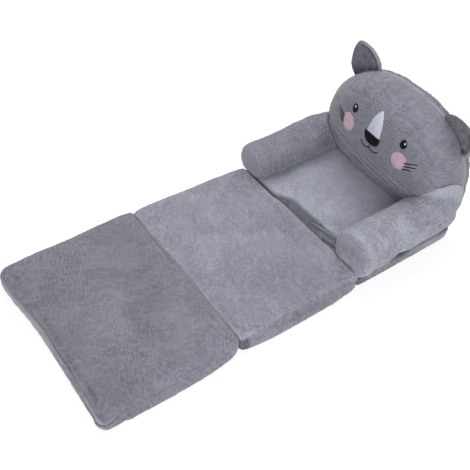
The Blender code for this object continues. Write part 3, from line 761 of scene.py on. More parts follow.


# For each plush: shares of the light, dark and warm colour, scale of its patches, contrast, and the rest. The
# shares paint light and shade: each piece gets a paler or darker copy of the one plush for the light on it.
PLUSHES = {
    "seat plush": ((1.30, 1.34, 1.32), 9.0, 0.88, dict(turn=(0.0, 0.0, 0.5), ripple=0.10)),
    "middle plush": (
        (0.98, 1.0, 1.0), 8.0, 1.15, dict(shift=(0.4, 0.1, 0.0), turn=(0.0, 0.0, 0.3), ripple=0.12)
    ),
    "end plush": (
        (0.75, 0.80, 0.81), 8.0, 1.25, dict(shift=(0.0, 0.7, 0.2), turn=(0.0, 0.0, -1.025), ripple=0.40)
    ),
    "head plush": (
        (0.83, 0.85, 0.79), 8.0, 0.88, dict(shift=(0.3, 0.3, 0.5), turn=(0.0, 1.5, 0.0), ripple=0.50)
    ),
    "left arm plush": ((0.77, 0.73, 0.75), 10.0, 1.3, dict(shift=(0.9, 0.3, 0.1))),
    "right arm plush": ((1.10, 1.10, 1.1), 10.0, 1.35, dict(shift=(0.2, 0.6, 0.4))),
    "ear plush": ((0.80, 0.72, 0.7), 14.0, 1.2, dict(shift=(0.2, 0.9, 0.1), painted_shade_strength=0.9)),
    "strip plush": ((0.6, 0.6, 0.6), 14.0, 1.0, {}),
}


def paint_all(nap, stitch):
    """Every finish of the sofa."""
    colours = bpy.context.scene.sofa_colours
    piles = [np.array(pile[:]) for pile in (colours.plush_light, colours.plush_dark, colours.plush_tint)]
    for name, (shares, patch_scale, contrast, more) in PLUSHES.items():
        # Each piece's tones: the one plush scaled by its shares, which paint its light and shade.
        tones = (pile * share for pile, share in zip(piles, shares))
        paint_plush(name, nap, *tones, patch_scale, contrast, **more)
    black, pink, lilac = colours.black_thread[:], colours.cheek_pink[:], colours.blaze_lilac[:]
    paint_stitched("black thread", stitch, black)
    paint_stitched("eye thread", stitch, black, edge=(0.22, 0.22, 0.25))
    paint_stitched("white thread", stitch, (0.95, 0.95, 0.95), valley=0.93)
    paint_felt("pink felt", pink, tuple(0.78 * c for c in pink))
    paint_satin("lilac satin", stitch, tuple(0.9 * c for c in lilac), lilac)
    paint_weave("zip tape", (0.13, 0.13, 0.15), (0.05, 0.05, 0.06), 450.0)
    paint_stitched("zip coil", stitch, (0.06, 0.06, 0.07), 2000.0, 0.5, 0.35, specular=0.4)
    paint_metal("slider metal", (0.42, 0.42, 0.45), (0.24, 0.24, 0.26))
    paint_dotted("base cloth", (0.034, 0.034, 0.038), (0.012, 0.012, 0.014))


def materials():
    """All finishes by name, made once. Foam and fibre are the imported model's own."""
    if "Brushed pile" not in bpy.data.node_groups:
        paint_all(build_nap_group(), build_stitch_group())
    return bpy.data.materials


# Panels


def panel_crown(x, y_from_middle):
    """Height of a panel's puffed top over its seams: (1 - |x / half width|^3) (1 - |y / half length|^3)
    times the crown."""
    across = 1 - np.minimum(np.abs(x) / (PANEL_WIDTH / 2), 1) ** CROWN_POWER
    along = 1 - np.minimum(np.abs(y_from_middle) / (PANEL_LENGTH / 2), 1) ** CROWN_POWER
    return PANEL_CROWN * across * along


def seat_top(x, y):
    return PANEL_HEIGHT + panel_crown(x, y - PANELS["seat"]["y"])


def rounded_plan(u, v, inset, outward=0.0):
    """Shares u and v carried to a panel's plan. In each corner square a pair of shares (p, q) moves to
    (p sqrt(1 - q^2 / 2), q sqrt(1 - p^2 / 2)), which rounds it. The sides draw in by DRAW_IN (1 - t^2)."""
    half = np.array([PANEL_WIDTH, PANEL_LENGTH]) / 2 - inset + outward
    radius = max(CORNER_RADIUS - inset, 0.002)
    x, y = np.abs(u) * half[0], np.abs(v) * half[1]
    p = np.clip((x - half[0] + radius) / radius, 0, 1)
    q = np.clip((y - half[1] + radius) / radius, 0, 1)
    along_x = np.clip(x / (half[0] - radius), 0, 1)
    along_y = np.clip(y / (half[1] - radius), 0, 1)
    x = x + radius * p * (np.sqrt(1 - q * q / 2) - 1) - DRAW_IN * np.abs(u) ** 3 * (1 - along_y**2)
    y = y + radius * q * (np.sqrt(1 - p * p / 2) - 1) - DRAW_IN * np.abs(v) ** 3 * (1 - along_x**2)
    return np.sign(u) * x, np.sign(v) * y


def panel_profile():
    """Down a panel's side: inset, height and bulge at each ring, and how far along the cloth it is."""
    roll = np.radians([67.5, 45.0, 22.5, 0.0])
    shoulder = PANEL_HEIGHT - EDGE_RADIUS
    rows = [(EDGE_RADIUS * (1 - math.cos(a)), shoulder + EDGE_RADIUS * math.sin(a), 0.0) for a in roll]
    for z in np.linspace(shoulder, FOOT_RADIUS, 9)[1:]:
        rows.append((0.0, z, WALL_BULGE * (1 - abs(z - ZIP_MIDDLE_Z) / ZIP_MIDDLE_Z)))
    rows.append((FOOT_RADIUS * 0.3, FOOT_RADIUS * 0.3, 0.0))
    first = np.array([EDGE_RADIUS, PANEL_HEIGHT])
    places = np.array([first] + [np.array(r[:2]) for r in rows])
    reach = np.cumsum(np.linalg.norm(np.diff(places, axis=0), axis=1))
    return rows, reach


def panel_form(columns=96, rows=72):
    """A panel round its own middle: a crowned top grid, rings down its side and a flat bottom grid."""
    u, v = square_grid(columns, rows)
    i, j = border(columns, rows)
    profile, reach = panel_profile()
    x, y = rounded_plan(u, v, EDGE_RADIUS)
    top = np.stack([x, y, PANEL_HEIGHT + panel_crown(x, y)], -1)
    rings = []
    for inset, z, outward in profile:
        x, y = rounded_plan(u[i, j], v[i, j], inset, outward)
        rings.append(np.stack([x, y, np.full(len(x), z)], -1))
    x, y = rounded_plan(u, v, FOOT_RADIUS)
    bottom = np.stack([x, y, np.zeros_like(x)], -1)
    inside = -np.minimum((1 - np.abs(u)) * PANEL_WIDTH / 2, (1 - np.abs(v)) * PANEL_LENGTH / 2)
    foot = reach[-1] + FOOT_RADIUS - inside
    fields = {"reach": np.concatenate([inside.ravel(), np.repeat(reach, len(i)), foot.ravel()])}
    return (*closed_form(top, rings, bottom), fields)


SEAM_REACH = 0.0063

# At a panel's -X, +X, -Y and +Y sides: drop and width of the soft shoulder, and how far the wall moves out
PANEL_SIDES = {
    "seat": (
        (0.0030, 0.016, 0.002), (0.0045, 0.022, 0.006), (0.0040, 0.014, 0.0016), (0.0040, 0.020, 0.002),
    ),
    "middle": (
        (-0.0040, 0.030, 0.013), (0.0035, 0.024, 0.018), (0.0, 0.010, 0.0016), (-0.0030, 0.030, 0.0016),
    ),
    "end": (
        (-0.0036, 0.030, 0.010), (0.0050, 0.030, 0.021), (0.0060, 0.034, 0.002), (0.0, 0.010, 0.0016),
    ),
}
FACING = {"seat": (-1,), "middle": (-1, 1), "end": (1,)}
AT_TOP_HINGE = {"middle": -1, "end": 1, "seat": 0}

# Where the cloth is pulled out in plan: place, how far, and over what radius
PULLS = {
    "seat": (),
    "middle": (
        ((-0.25, -0.188), (-0.006, 0.0), 0.10),
        ((-0.25, 0.188), (-0.003, 0.0), 0.08),
        ((0.25, -0.140), (0.005, 0.0), 0.05),
        ((0.25, 0.188), (0.006, 0.002), 0.06),
    ),
    "end": (
        ((-0.25, -0.188), (0.001, -0.010), 0.055),
        ((0.25, -0.188), (0.014, -0.004), 0.070),
        ((-0.25, 0.188), (-0.012, 0.0), 0.120),
        ((-0.165, -0.188), (0.0, -0.014), 0.080),
    ),
}


def front_roll(x, inside):
    """How far the seat's front edge has sunk: 18 mm (1 - inside / reach)^1.2, where the reach of the roll
    grows from 15 mm to 47 mm between the left arm and the middle."""
    reach = 0.015 + 0.032 * rising(x, -0.130, 0.075)
    return reach, 0.018 * np.clip(1 - inside / reach, 0, 1) ** 1.2


def lip(x, height):
    """How far the middle panel's top edge leans over the sunk edge of the seat."""
    return (0.003 + 0.006 * rising(x, -0.130, 0.075)) * rising(height, 0.034, 0.008)


def softened(points, name):
    """A panel's form with worn shoulders: at each side the height falls by drop (1 - distance / width)^1.6
    and the wall moves out, low down by sin(pi (z / 50 mm)^0.3) and at -X, over the zip, high up. A side that
    faces another panel is also let out by what the drawn-in sides took, so that the two nearly touch. At
    the hinge between the tops the roll is pressed flat and the corners are square."""
    moved = points.copy()
    x, y, height = points.T
    lift = rising(height, 0.004, 0.030)
    round_out = np.sin(math.pi * np.clip(height / 0.050, 0, 1) ** 0.3)
    high_out = rising(height, 0.028, 0.014)
    for number, (drop, width, bulge) in enumerate(PANEL_SIDES[name]):
        axis, way = number // 2, (number % 2) * 2 - 1
        half, other = (np.array([PANEL_WIDTH, PANEL_LENGTH]) / 2)[[axis, 1 - axis]]
        inside = half - way * points[:, axis]
        middle = 1 - np.clip(np.abs(points[:, 1 - axis]) / other, 0, 1) ** 3
        if name == "seat" and number == 2:
            moved[:, 2] -= front_roll(x, inside)[1] * lift
        moved[:, 2] -= drop * np.clip(1 - inside / width, 0, 1) ** 1.6 * lift
        at_wall = np.clip(1 - inside / 0.012, 0, 1)
        if axis and way in FACING[name]:
            bulge = bulge + DRAW_IN * np.clip(1 - (x / (PANEL_WIDTH / 2 - CORNER_RADIUS)) ** 2, 0, 1)
            moved[:, 1] += way * bulge * at_wall * smooth_step(height / 0.008)
        else:
            near = smooth_step(1 - inside / 0.030)
            moved[:, axis] += way * bulge * middle * near * (high_out if number == 0 else round_out)
    for way in FACING[name]:
        p = np.clip((np.abs(x) - PANEL_WIDTH / 2 + CORNER_RADIUS) / CORNER_RADIUS, 0, 1)
        q = np.clip((way * y - PANEL_LENGTH / 2 + CORNER_RADIUS) / CORNER_RADIUS, 0, 1)
        square = np.hypot(p, q) / np.maximum((p**5 + q**5) ** 0.2, 1e-6)
        grow = np.where((p > 0) & (q > 0), square - 1, 0) * rising(height, 0.002, 0.014)
        moved[:, 0] += np.sign(x) * p * grow * CORNER_RADIUS
        moved[:, 1] += way * q * grow * CORNER_RADIUS
    if name == "middle":
        moved[:, 1] += lip(x, height) * smooth_step(1 - (PANEL_LENGTH / 2 - y) / 0.030)
    hinge = AT_TOP_HINGE[name]
    edge = smooth_step(1 - (PANEL_LENGTH / 2 - hinge * y) / 0.012) * rising(height, 0.034, 0.010)
    moved[:, 2] += 0.92 * (0.0507 - height) * edge * (height < 0.0507) * abs(hinge)
    at_zip = rising(-x, 0.225, 0.012) * falling(height, 0.036, 0.008) * falling(np.abs(y), 0.165, 0.045)
    for place, shift, radius in PULLS[name]:
        near = np.exp(-((x - place[0]) ** 2 + (y - place[1]) ** 2) / radius**2)
        near = near * rising(height, 0.002, 0.020)
        near *= 1 - at_zip
        moved[:, :2] += np.array(shift) * near[:, None]
    return moved


def corner_folds():
    """Gathers that run out of the four corners, over the roll and down the wall."""
    lines = []
    for sx in (-1, 1):
        for sy in (-1, 1):
            corner = np.array([sx * (PANEL_WIDTH / 2 - 0.006), sy * (PANEL_LENGTH / 2 - 0.006), 0.044])
            for along, across, size in ((0.060, 0.012, 0.9), (0.038, 0.030, 1.2), (0.012, 0.050, 0.8)):
                end = corner - np.array([sx * along, sy * across, -0.008])
                lines.append((corner, end, 0.006, -0.0012 * size))
            low = corner + np.array([sx * 0.0035, sy * 0.0035, -0.038])
            lines.append((corner, low, 0.0035, -0.0016))
    return lines


PANEL_FOLDS = {
    "seat": (
        ((0.030, -0.160, 0.046), (0.125, -0.144, 0.050), 0.0050, 0.0030),
        ((0.050, -0.148, 0.050), (0.125, -0.134, 0.052), 0.0050, -0.0022),
        ((0.090, -0.172, 0.040), (0.150, -0.166, 0.043), 0.0045, -0.0030),
        ((0.100, -0.178, 0.036), (0.150, -0.175, 0.040), 0.0040, 0.0020),
        ((-0.150, -0.184, 0.049), (-0.060, -0.168, 0.053), 0.008, -0.0012),
        ((-0.160, 0.020, 0.054), (-0.100, 0.060, 0.054), 0.012, -0.0010),
        ((-0.140, -0.080, 0.054), (-0.150, 0.030, 0.054), 0.010, -0.0010),
    ),
    "middle": (
        ((0.200, -0.176, 0.050), (0.240, -0.158, 0.052), 0.006, -0.0022),
        ((0.236, -0.170, 0.048), (0.251, -0.130, 0.040), 0.006, 0.0022),
        ((0.225, -0.150, 0.052), (0.249, -0.110, 0.044), 0.007, -0.0018),
        ((0.250, -0.150, 0.034), (0.250, -0.080, 0.012), 0.008, -0.0020),
        ((0.250, -0.020, 0.034), (0.250, 0.050, 0.018), 0.010, -0.0014),
        ((0.250, 0.080, 0.030), (0.250, 0.150, 0.014), 0.009, -0.0016),
        ((-0.190, -0.170, 0.052), (-0.120, -0.150, 0.053), 0.008, -0.0010),
        ((0.050, -0.174, 0.052), (0.130, -0.160, 0.053), 0.007, -0.0010),
    ),
    "end": (
        ((0.117, 0.170, 0.053), (0.195, 0.176, 0.052), 0.006, -0.0020),
        ((0.150, 0.160, 0.053), (0.230, 0.168, 0.052), 0.007, 0.0016),
        ((0.250, 0.060, 0.034), (0.250, 0.140, 0.016), 0.007, -0.0022),
        ((0.250, 0.000, 0.030), (0.250, 0.075, 0.010), 0.008, -0.0020),
        ((0.250, -0.120, 0.032), (0.250, -0.040, 0.022), 0.009, -0.0014),
        ((0.170, -0.187, 0.034), (0.060, -0.189, 0.020), 0.008, -0.0022),
        ((-0.020, -0.189, 0.030), (-0.120, -0.189, 0.018), 0.009, -0.0018),
        ((-0.060, -0.172, 0.052), (0.040, -0.150, 0.053), 0.010, -0.0012),
        ((0.100, -0.176, 0.052), (0.200, -0.168, 0.052), 0.008, -0.0014),
    ),
}


def near_side(points, name):
    """How far the seam is hidden in the pile: nearly all along the +X side of the middle and the end panel,
    and less where the end panel's runs on from its front corner."""
    if name == "seat":
        return 0.0
    seen = 0.5 * rising(points[:, 1], -0.10, 0.06) * (name == "end")
    return (0.9 - seen) * rising(points[:, 0], 0.19, 0.03)


def stacked(points, corner, reach):
    """Soft folds that lie one over another round a corner: -1 to 1, one fold every 13 mm of height."""
    far = np.hypot(points[:, 0] - corner[0], points[:, 1] - corner[1]) / reach
    wander = 0.10 * (points[:, 0] - corner[0]) - 0.22 * (points[:, 1] - corner[1])
    return np.exp(-(far**2)) * np.cos(2 * math.pi * (points[:, 2] - 0.040 + wander) / 0.013)


def panel_shade(points, name, reach, from_seam):
    """How much painted shade a panel's pile gets: 1 along seams and in the cracks between panels, below 0
    where it gets a painted highlight instead."""
    x, y, z = points.T
    hinge = AT_TOP_HINGE[name]
    low = rising(reach, 0.046, 0.006)
    at_hinge = smooth_step(1 - (PANEL_LENGTH / 2 - hinge * y) / 0.016) * abs(hinge)
    broken = 0.25 + 0.75 * smooth_step(0.6 + waves(points, 0.060, 63))
    broken = broken * (1 - near_side(points, name))
    # Painted shade low on the walls and along the seams, broken up at random.
    shade = 0.3 * low + 0.7 * broken * hump(from_seam, 0, 0.0016) * (1 - at_hinge)
    upper = rising(z, 0.040, 0.006)
    # Where a panel faces another: a painted highlight on the rim and painted shade in the crack between them.
    for way in FACING[name]:
        inside = PANEL_LENGTH / 2 - way * y + (lip(x, z) if (name, way) == ("middle", 1) else 0)
        if way == hinge:
            shade -= (0.8 if name == "middle" else 0.3) * upper * hump(inside, 0.0024, 0.0014)
            shade += 0.7 * smooth_step(waves(points, 0.030, 61) / 0.6) * hump(inside, 0, 0.0010)
        else:
            shade += 1.6 * smooth_step(1.4 - inside / (0.0080 if name == "seat" else 0.0018))
            shade -= 0.9 * upper * hump(inside, 0.0035, 0.0018) * (name == "middle")
    side = rising(x, 0.240, 0.006) * falling(z, 0.046, 0.004)
    front = rising(-y, 0.183, 0.006) * falling(z, 0.044, 0.004)
    # Seat: painted shade on its sunk front roll, darker at the front corner by the right arm, and a painted
    # shadow on its wall under the right arm; a painted highlight towards the head lightens the head's shadow.
    if name == "seat":
        rolled = front_roll(x, y + PANEL_LENGTH / 2)
        soft = 0.020 - 0.010 * rising(x, -0.05, 0.10)
        inner = smooth_step((rolled[0] - y - PANEL_LENGTH / 2) / soft + 0.3)
        seen = 0.25 + 0.75 * rising(z, 0.020, 0.010)
        shade += 1.50 * inner * seen * (1 - 0.15 * rising(x, 0.02, 0.10))
        shade += side * (0.80 + 1.0 * rising(z, 0.022, 0.012))
        shade += 2.0 * rising(x, 0.228, 0.010) * rising(z, 0.035, 0.006)
        shade += 0.2 * rising(x, 0.215, 0.03) * rising(-y, 0.150, 0.03) - 0.5 * smooth_step(y / 0.10)
    # Middle: painted shadow on its wall under the right arm, darkest at the front.
    elif name == "middle":
        shade += 0.4 * side + 1.2 * side * rising(-y, 0.160, 0.015)
    # End: painted shade in dashes above the front edge and towards the front, a painted highlight on the
    # front wall, painted shade low on the front wall by the near corner, and painted light and shade on the
    # stacked folds there.
    else:
        shade += 0.45 * hump(y, -0.170, 0.007) * upper * smooth_step(0.6 + waves(points, 0.05, 62))
        shade += 0.15 * rising(-y, 0.02, 0.12) - 1.15 * front
        hidden = rising(x, 0.10, 0.10) * rising(-y, 0.176, 0.006)
        shade += 1.7 * hidden * falling(z, 0.036, 0.009) * falling(x, 0.262, 0.02)
        shade += 0.6 * stacked(points, (0.262, -0.192), 0.034) * falling(z, 0.048, 0.006)
    return shade


def shape_panel(name, seed, groove):
    """A panel's fine cloth: crown and creases of the cloth run, then seams, gathers, folds and limits."""
    points, faces, parts, fields = panel_form()
    points = softened(points, name)
    sewn = (np.abs(fields["reach"] - SEAM_REACH) < 0.001) | (points[:, 2] < 0.002)
    points = puckered(points, faces, sewn, 3.0, 0.012, seed, 0.8, 0.0016)
    points, normal, faces, parts, fields = refined(points, faces, parts, fields)
    reach = fields["reach"]
    droop = rising(points[:, 0], 0.20, 0.04) * falling(np.abs(points[:, 1] - 0.02), 0.12, 0.06)
    from_seam = reach - SEAM_REACH - (0.014 * droop if name == "end" else 0)
    from_seam = from_seam - 0.0022 * waves(points * (1.0, 1.0, 0.0), 0.11, seed + 7)
    plan = points[:, :2] / np.array([PANEL_WIDTH, PANEL_LENGTH]) * 2
    along = np.where(np.abs(plan[:, 0]) > np.abs(plan[:, 1]), points[:, 1], points[:, 0])
    wall = rising(reach, 0.010, 0.010) * falling(reach, 0.052, 0.008)
    top = smooth_step(-reach / 0.012)
    out = seam_profile(from_seam, 0.0017, groove) * (1 - near_side(points, name))
    out += 0.0012 * gathers(along, 0.021, seed) * hump(from_seam, 0, 0.010)
    out += 0.0013 * wall * (gathers(along + 0.7 * points[:, 2], 0.047, seed + 1) + 0.5)
    out += 0.0008 * wall * waves(points, 0.035, seed + 2)
    out += top * (0.0011 * waves(points, 0.095, seed + 3) - 0.0006 + 0.0005 * waves(points, 0.038, seed + 4))
    out += 0.0022 * wall * waves(points * (1.0, 1.0, 0.3), 0.13, seed + 6)
    near = rising(points[:, 0], 0.235, 0.010)
    out += 0.0017 * wall * near * waves(points * (1.0, 1.0, 0.5), 0.055, seed + 8)
    out += folds(points, corner_folds()) + folds(points, PANEL_FOLDS[name])
    if name == "end":
        out -= 0.0020 * stacked(points, (0.262, -0.192), 0.034) * falling(points[:, 2], 0.048, 0.006)
    under = rising(points[:, 2], 0.001, 0.006)
    zip_side = rising(-points[:, 0], 0.244, 0.004)
    zip_side *= falling(np.abs(points[:, 1]), 0.135, 0.010)
    zip_side *= falling(np.abs(points[:, 2] - ZIP_MIDDLE_Z), 0.0135, 0.005)
    out = out * under * (1 - zip_side) - 0.0006 * zip_side
    points = points + normal * out[:, None]
    for way in FACING[name]:
        limit = WALL_LIMIT + (lip(points[:, 0], points[:, 2]) if (name, way) == ("middle", 1) else 0)
        points[:, 1] = way * np.minimum(way * points[:, 1], limit)
    points[:, 2] = np.clip(points[:, 2], 0, TOP_LIMIT)
    # The crease value also gets painted shade in valleys and a painted highlight on ridges.
    fields["crease"] = panel_shade(points, name, reach, from_seam) + 0.35 * hollows(points, faces, normal)
    return points, faces, parts, fields


def make_panel(name, place, settings):
    """A panel's cover, base sheet and foam slab."""
    finishes = materials()
    points, faces, parts, fields = shape_panel(name, place["seed"], settings.seam_groove)
    points = points + np.array([0.0, place["y"], 0.0])
    skin, quads, values = cut_out(points, faces, {"crease": fields["crease"]}, parts < 2)
    plush = finish_piece(
        f"{name}_plush", skin, quads, finishes[f"{name} plush"], name, [f"{name}_cover"],
        values, settings.plush_thickness,
    )
    sheet, quads, _ = cut_out(points, faces, {}, parts == 2)
    base = finish_piece(
        f"{name}_base", sheet, quads, finishes["base cloth"], name, [f"{name}_base_sheet"],
        skin=settings.base_thickness,
    )
    foam, quads, _, _ = panel_form(30, 24)
    foam = softened(foam * FOAM_PLAN_SHARES, name) * FOAM_HEIGHT_SHARES + (0, place["y"], FOAM_LIFT)
    core = finish_piece(
        f"{name}_foam", foam, quads, finishes["foam"], name, [f"{name}_foam_core"],
    )
    for piece in (plush, base, core):
        pressed_by_arms(piece, name)


# Hinges and zips


def strip_form(y, z, depth):
    """A flat band across the gap between two panels: columns along X, rows across, 1.1 mm thick, with a
    slight sag between its sewn edges."""
    u, v = square_grid(90, 6)
    run = PANEL_WIDTH - 2 * CORNER_RADIUS
    half = (PANEL_PITCH - PANEL_LENGTH) / 2 + DRAW_IN * (1 - u * u) + depth
    x = u * run / 2
    ripple = 0.0002 * waves(np.stack([x, v * 0, v * 0], -1), 0.03, 5)
    top = np.stack([x, y + v * half, z - 0.0003 * (1 - v * v) + ripple], -1)
    return closed_form(top, [], top - np.array([0.0, 0.0, 0.0011]))


def tube_form(path, radii, sides=8, flat=1.0, up=(0.0, -1.0, 0.0)):
    """A round line carried along a path: at each point a ring about the path's heading, pressed to flat
    times its height along up, and closed by its last ring at both ends."""
    path = np.asarray(path, float)
    radii = np.broadcast_to(radii, len(path))
    heading = np.gradient(path, axis=0)
    heading /= np.linalg.norm(heading, axis=1)[:, None]
    beside = np.cross(heading, up)
    beside /= np.maximum(np.linalg.norm(beside, axis=1), 1e-9)[:, None]
    over = np.cross(beside, heading)
    angle = np.arange(sides) * 2 * math.pi / sides
    sideways = np.cos(angle)[None, :, None] * beside[:, None]
    ring = sideways + flat * np.sin(angle)[None, :, None] * over[:, None]
    points = (path[:, None] + radii[:, None, None] * ring).reshape(-1, 3)
    place = np.arange(len(points)).reshape(len(path), sides)
    low, high = place[:-1], place[1:]
    quads = np.stack([low, np.roll(low, -1, 1), np.roll(high, -1, 1), high], -1).reshape(-1, 4)
    return points, quads.tolist() + [place[0, ::-1].tolist(), place[-1].tolist()]


def zip_wall_x(y_from_middle):
    """The X of a panel's drawn-in wall at the zip: the side less DRAW_IN 4 t (1 - t)."""
    run = PANEL_LENGTH - 2 * CORNER_RADIUS
    share = (y_from_middle + run / 2) / run
    return -PANEL_WIDTH / 2 + DRAW_IN * 4 * share * (1 - share) - WALL_BULGE


def make_zip(name, y, settings):
    """Woven tape, its closed coil of teeth, and the slider at the front end."""
    finishes = materials()
    u, v = square_grid(80, 8)
    along = -u * ZIP_LENGTH / 2
    x = zip_wall_x(along) - 0.0003
    front = np.stack([x - 0.0006 - 0.0003 * np.abs(v) ** 8, y + along, ZIP_MIDDLE_Z + v * ZIP_WIDTH / 2], -1)
    back = front.copy()
    back[..., 0] = x
    points, quads, _ = closed_form(front, [], back)
    tape = finish_piece(
        f"{name}_zip_tape", points, quads, finishes["zip tape"], name, [f"{name}_zip"]
    )
    pressed_by_arms(tape, name)
    turns = int(ZIP_LENGTH / settings.tooth_pitch)
    share = np.arange(turns * COIL_STEPS + 1) / (turns * COIL_STEPS)
    angle = 2 * math.pi * turns * share
    place = (share - 0.5) * (ZIP_LENGTH - 0.004)
    path = np.stack(
        [
            zip_wall_x(place) - 0.0012 + 0.00022 * np.cos(angle),
            y + place + 0.0002 * np.cos(2 * angle),
            ZIP_MIDDLE_Z + COIL_HALF_WIDTH * np.sin(angle),
        ],
        -1,
    )
    points, coils = tube_form(path, COIL_WIRE_RADIUS, sides=5, up=(-1.0, 0.0, 0.0))
    coil = finish_piece(f"{name}_zip_coil", points, coils, finishes["zip coil"], name)
    pressed_by_arms(coil, name)
    low, high = (np.array(c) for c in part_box(f"{name}_zip_slider"))
    middle, half = (low + high) / 2, (high - low) / 2
    u, v = square_grid(20, 16)
    level, angle = disc_places(u, v)
    out_y = signed_power(np.cos(angle), 0.55) * level * half[1]
    out_z = signed_power(np.sin(angle), 0.55) * level * half[2] * (1 - 0.22 * smooth_step(-out_y / half[1]))
    dome = half[0] * (0.55 + 0.45 * hump(out_z / half[2], 0, 0.35) * (1 - (out_y / half[1]) ** 4))
    front = np.stack([middle[0] - dome * (1 - level**6), middle[1] - out_y, middle[2] + out_z], -1)
    back = np.stack([middle[0] + half[0] * 0.9 * (1 - level**10), middle[1] - out_y, middle[2] + out_z], -1)
    points, quads, _ = closed_form(front, [], back)
    finish_piece(
        f"{name}_slider", points, quads, finishes["slider metal"], f"{name}_slider",
        [f"{name}_zip_slider"],
    )


# Head


def head_levels(side, level, inset):
    """Shares of the outline and of the depth at a level from a side's middle, 0, to its seam, 1. They are
    cos(phi)^(2/m) and sin(phi)^(2/m), with phi chosen so that levels are evenly spaced along the curve."""
    power, depth = (HEAD_FRONT_POWER, HEAD_FRONT_DEPTH) if side < 0 else (HEAD_REAR_POWER, HEAD_REAR_DEPTH)
    depth -= inset
    phi = np.linspace(math.pi / 2, 0, 1500)
    outline, swell = np.cos(phi) ** (2 / power), np.sin(phi) ** (2 / power)
    keep = swell * depth > HEAD_SEAM_GAP
    outline, swell = outline[keep], swell[keep]
    across = np.diff(outline, prepend=0) * HEAD_HALF_WIDTH
    length = np.cumsum(np.hypot(across, np.diff(swell, prepend=1) * depth))
    at = level * length[-1]
    return np.interp(at, length, outline), np.interp(at, length, swell) * depth, length[-1]


def head_side(columns, rows, side, inset=0.0):
    """Grid of a side of the head. The outline is a rounded oval cut flat by the seat; chin and nape are
    drawn in low down."""
    u, v = square_grid(columns, rows)
    level, angle = disc_places(u, v)
    outline, depth, length = head_levels(side, level, inset)
    x, z, y = head_place(angle, outline, depth, side, inset)
    return np.stack([x, y, z], -1), (1 - level) * length


def seam_y(rise):
    """The Y of the leaning seam at a height over the head's middle."""
    return HEAD_SEAM_Y - HEAD_LEAN_SHARE * rise


def fullness(z, side):
    """Share of a side's depth at a height: 1 - share (1 - height over the seat / height)^power."""
    share, height, power = CHIN if side < 0 else NAPE
    return 1 - share * np.clip(1 - (z - PANEL_HEIGHT) / height, 0, 1) ** power


def outline_share(x, rise):
    """How far out a place is, 1 on the head's outline: the m-th root of |x share|^m + |rise share|^m."""
    reach = np.where(rise > 0, HEAD_TOP_RISE, HEAD_LOWER_REACH)
    total = (np.abs(x) / HEAD_HALF_WIDTH) ** HEAD_OUTLINE_POWER + (np.abs(rise) / reach) ** HEAD_OUTLINE_POWER
    return total ** (1 / HEAD_OUTLINE_POWER)


def head_place(angle, outline, depth, side, inset):
    """X, Z and Y of places on a side of the head at angles round it, kept above the seat."""
    over = np.sin(angle)
    rise = np.where(over > 0, HEAD_TOP_RISE, HEAD_LOWER_REACH) - inset
    x = (HEAD_HALF_WIDTH - inset) * signed_power(np.cos(angle), 2 / HEAD_OUTLINE_POWER) * outline
    z = HEAD_CENTRE_Z + rise * signed_power(over, 2 / HEAD_OUTLINE_POWER) * outline
    foot = PANEL_HEIGHT + SEAT_CLEARANCE + inset
    z = np.maximum(z, foot)
    y = seam_y(z - HEAD_CENTRE_Z) + side * depth * fullness(z, side)
    return x, np.maximum(z, foot + panel_crown(x, y - PANELS["seat"]["y"])), y


def head_form(columns, rows, inset=0.0):
    """The head: face grid, one ring on the seam, and rear grid."""
    face, face_reach = head_side(columns, rows, -1, inset)
    rear, rear_reach = head_side(columns, rows, 1, inset)
    u, v = square_grid(columns, rows)
    i, j = border(columns, rows)
    angle = disc_places(u, v)[1][i, j]
    x, z, y = head_place(angle, 1.0, 0.0, -1, inset)
    seam = np.stack([x, y, z], -1)
    points, faces, parts = closed_form(face, [seam], rear)
    ring = len(faces) - 2 * columns * rows
    parts = np.repeat([0, 0, 2, 2], [columns * rows, ring // 2, ring // 2, columns * rows])
    gap = HEAD_SEAM_GAP
    reach = np.concatenate([face_reach.ravel() + gap, np.zeros(len(i)), -rear_reach.ravel() - gap])
    return points, faces, parts, {"reach": reach}


def face_y(x, rise):
    """The Y of the plain face at a place measured from the head's middle."""
    shrink = np.minimum(outline_share(x, rise), 1)
    swell = (1 - shrink**HEAD_FRONT_POWER) ** (1 / HEAD_FRONT_POWER)
    return seam_y(rise) - HEAD_FRONT_DEPTH * swell * fullness(rise + HEAD_CENTRE_Z, -1)


def face_folds(paths):
    """Fold lines through places (across, up) on the face."""
    lines = []
    for places, width, depth in paths:
        xz = np.array(places)
        spots = np.column_stack([xz[:, 0], face_y(xz[:, 0], xz[:, 1]), xz[:, 1] + HEAD_CENTRE_Z])
        lines += [(a, b, width, depth) for a, b in zip(spots[:-1], spots[1:])]
    return lines


FACE_PATHS = (
    (((-0.150, 0.030), (-0.075, 0.006), (-0.020, -0.014), (0.075, -0.026)), 0.011, -0.0042),
    (((-0.180, -0.010), (-0.100, -0.030), (0.000, -0.048)), 0.009, -0.0036),
    (((-0.130, 0.055), (-0.080, 0.030), (-0.040, 0.020)), 0.008, -0.0024),
    (((-0.030, 0.010), (0.050, 0.002), (0.120, -0.016)), 0.010, -0.0034),
    (((0.060, 0.030), (0.130, 0.010), (0.190, -0.006)), 0.010, -0.0028),
    (((0.040, -0.050), (0.110, -0.060), (0.180, -0.056)), 0.009, -0.0030),
    (((0.196, 0.036), (0.216, 0.030), (0.234, 0.030)), 0.005, -0.0034),
    (((0.030, 0.192), (0.074, 0.200), (0.110, 0.190)), 0.007, -0.0018),
    (((0.090, 0.176), (0.140, 0.160), (0.185, 0.128)), 0.008, -0.0016),
    (((0.150, 0.150), (0.200, 0.105), (0.228, 0.060)), 0.009, -0.0020),
    (((0.190, 0.080), (0.222, 0.050), (0.236, 0.020)), 0.007, -0.0024),
    (((-0.060, 0.186), (-0.110, 0.176), (-0.150, 0.160)), 0.008, -0.0020),
    (((-0.170, 0.120), (-0.200, 0.080), (-0.215, 0.040)), 0.009, -0.0022),
)


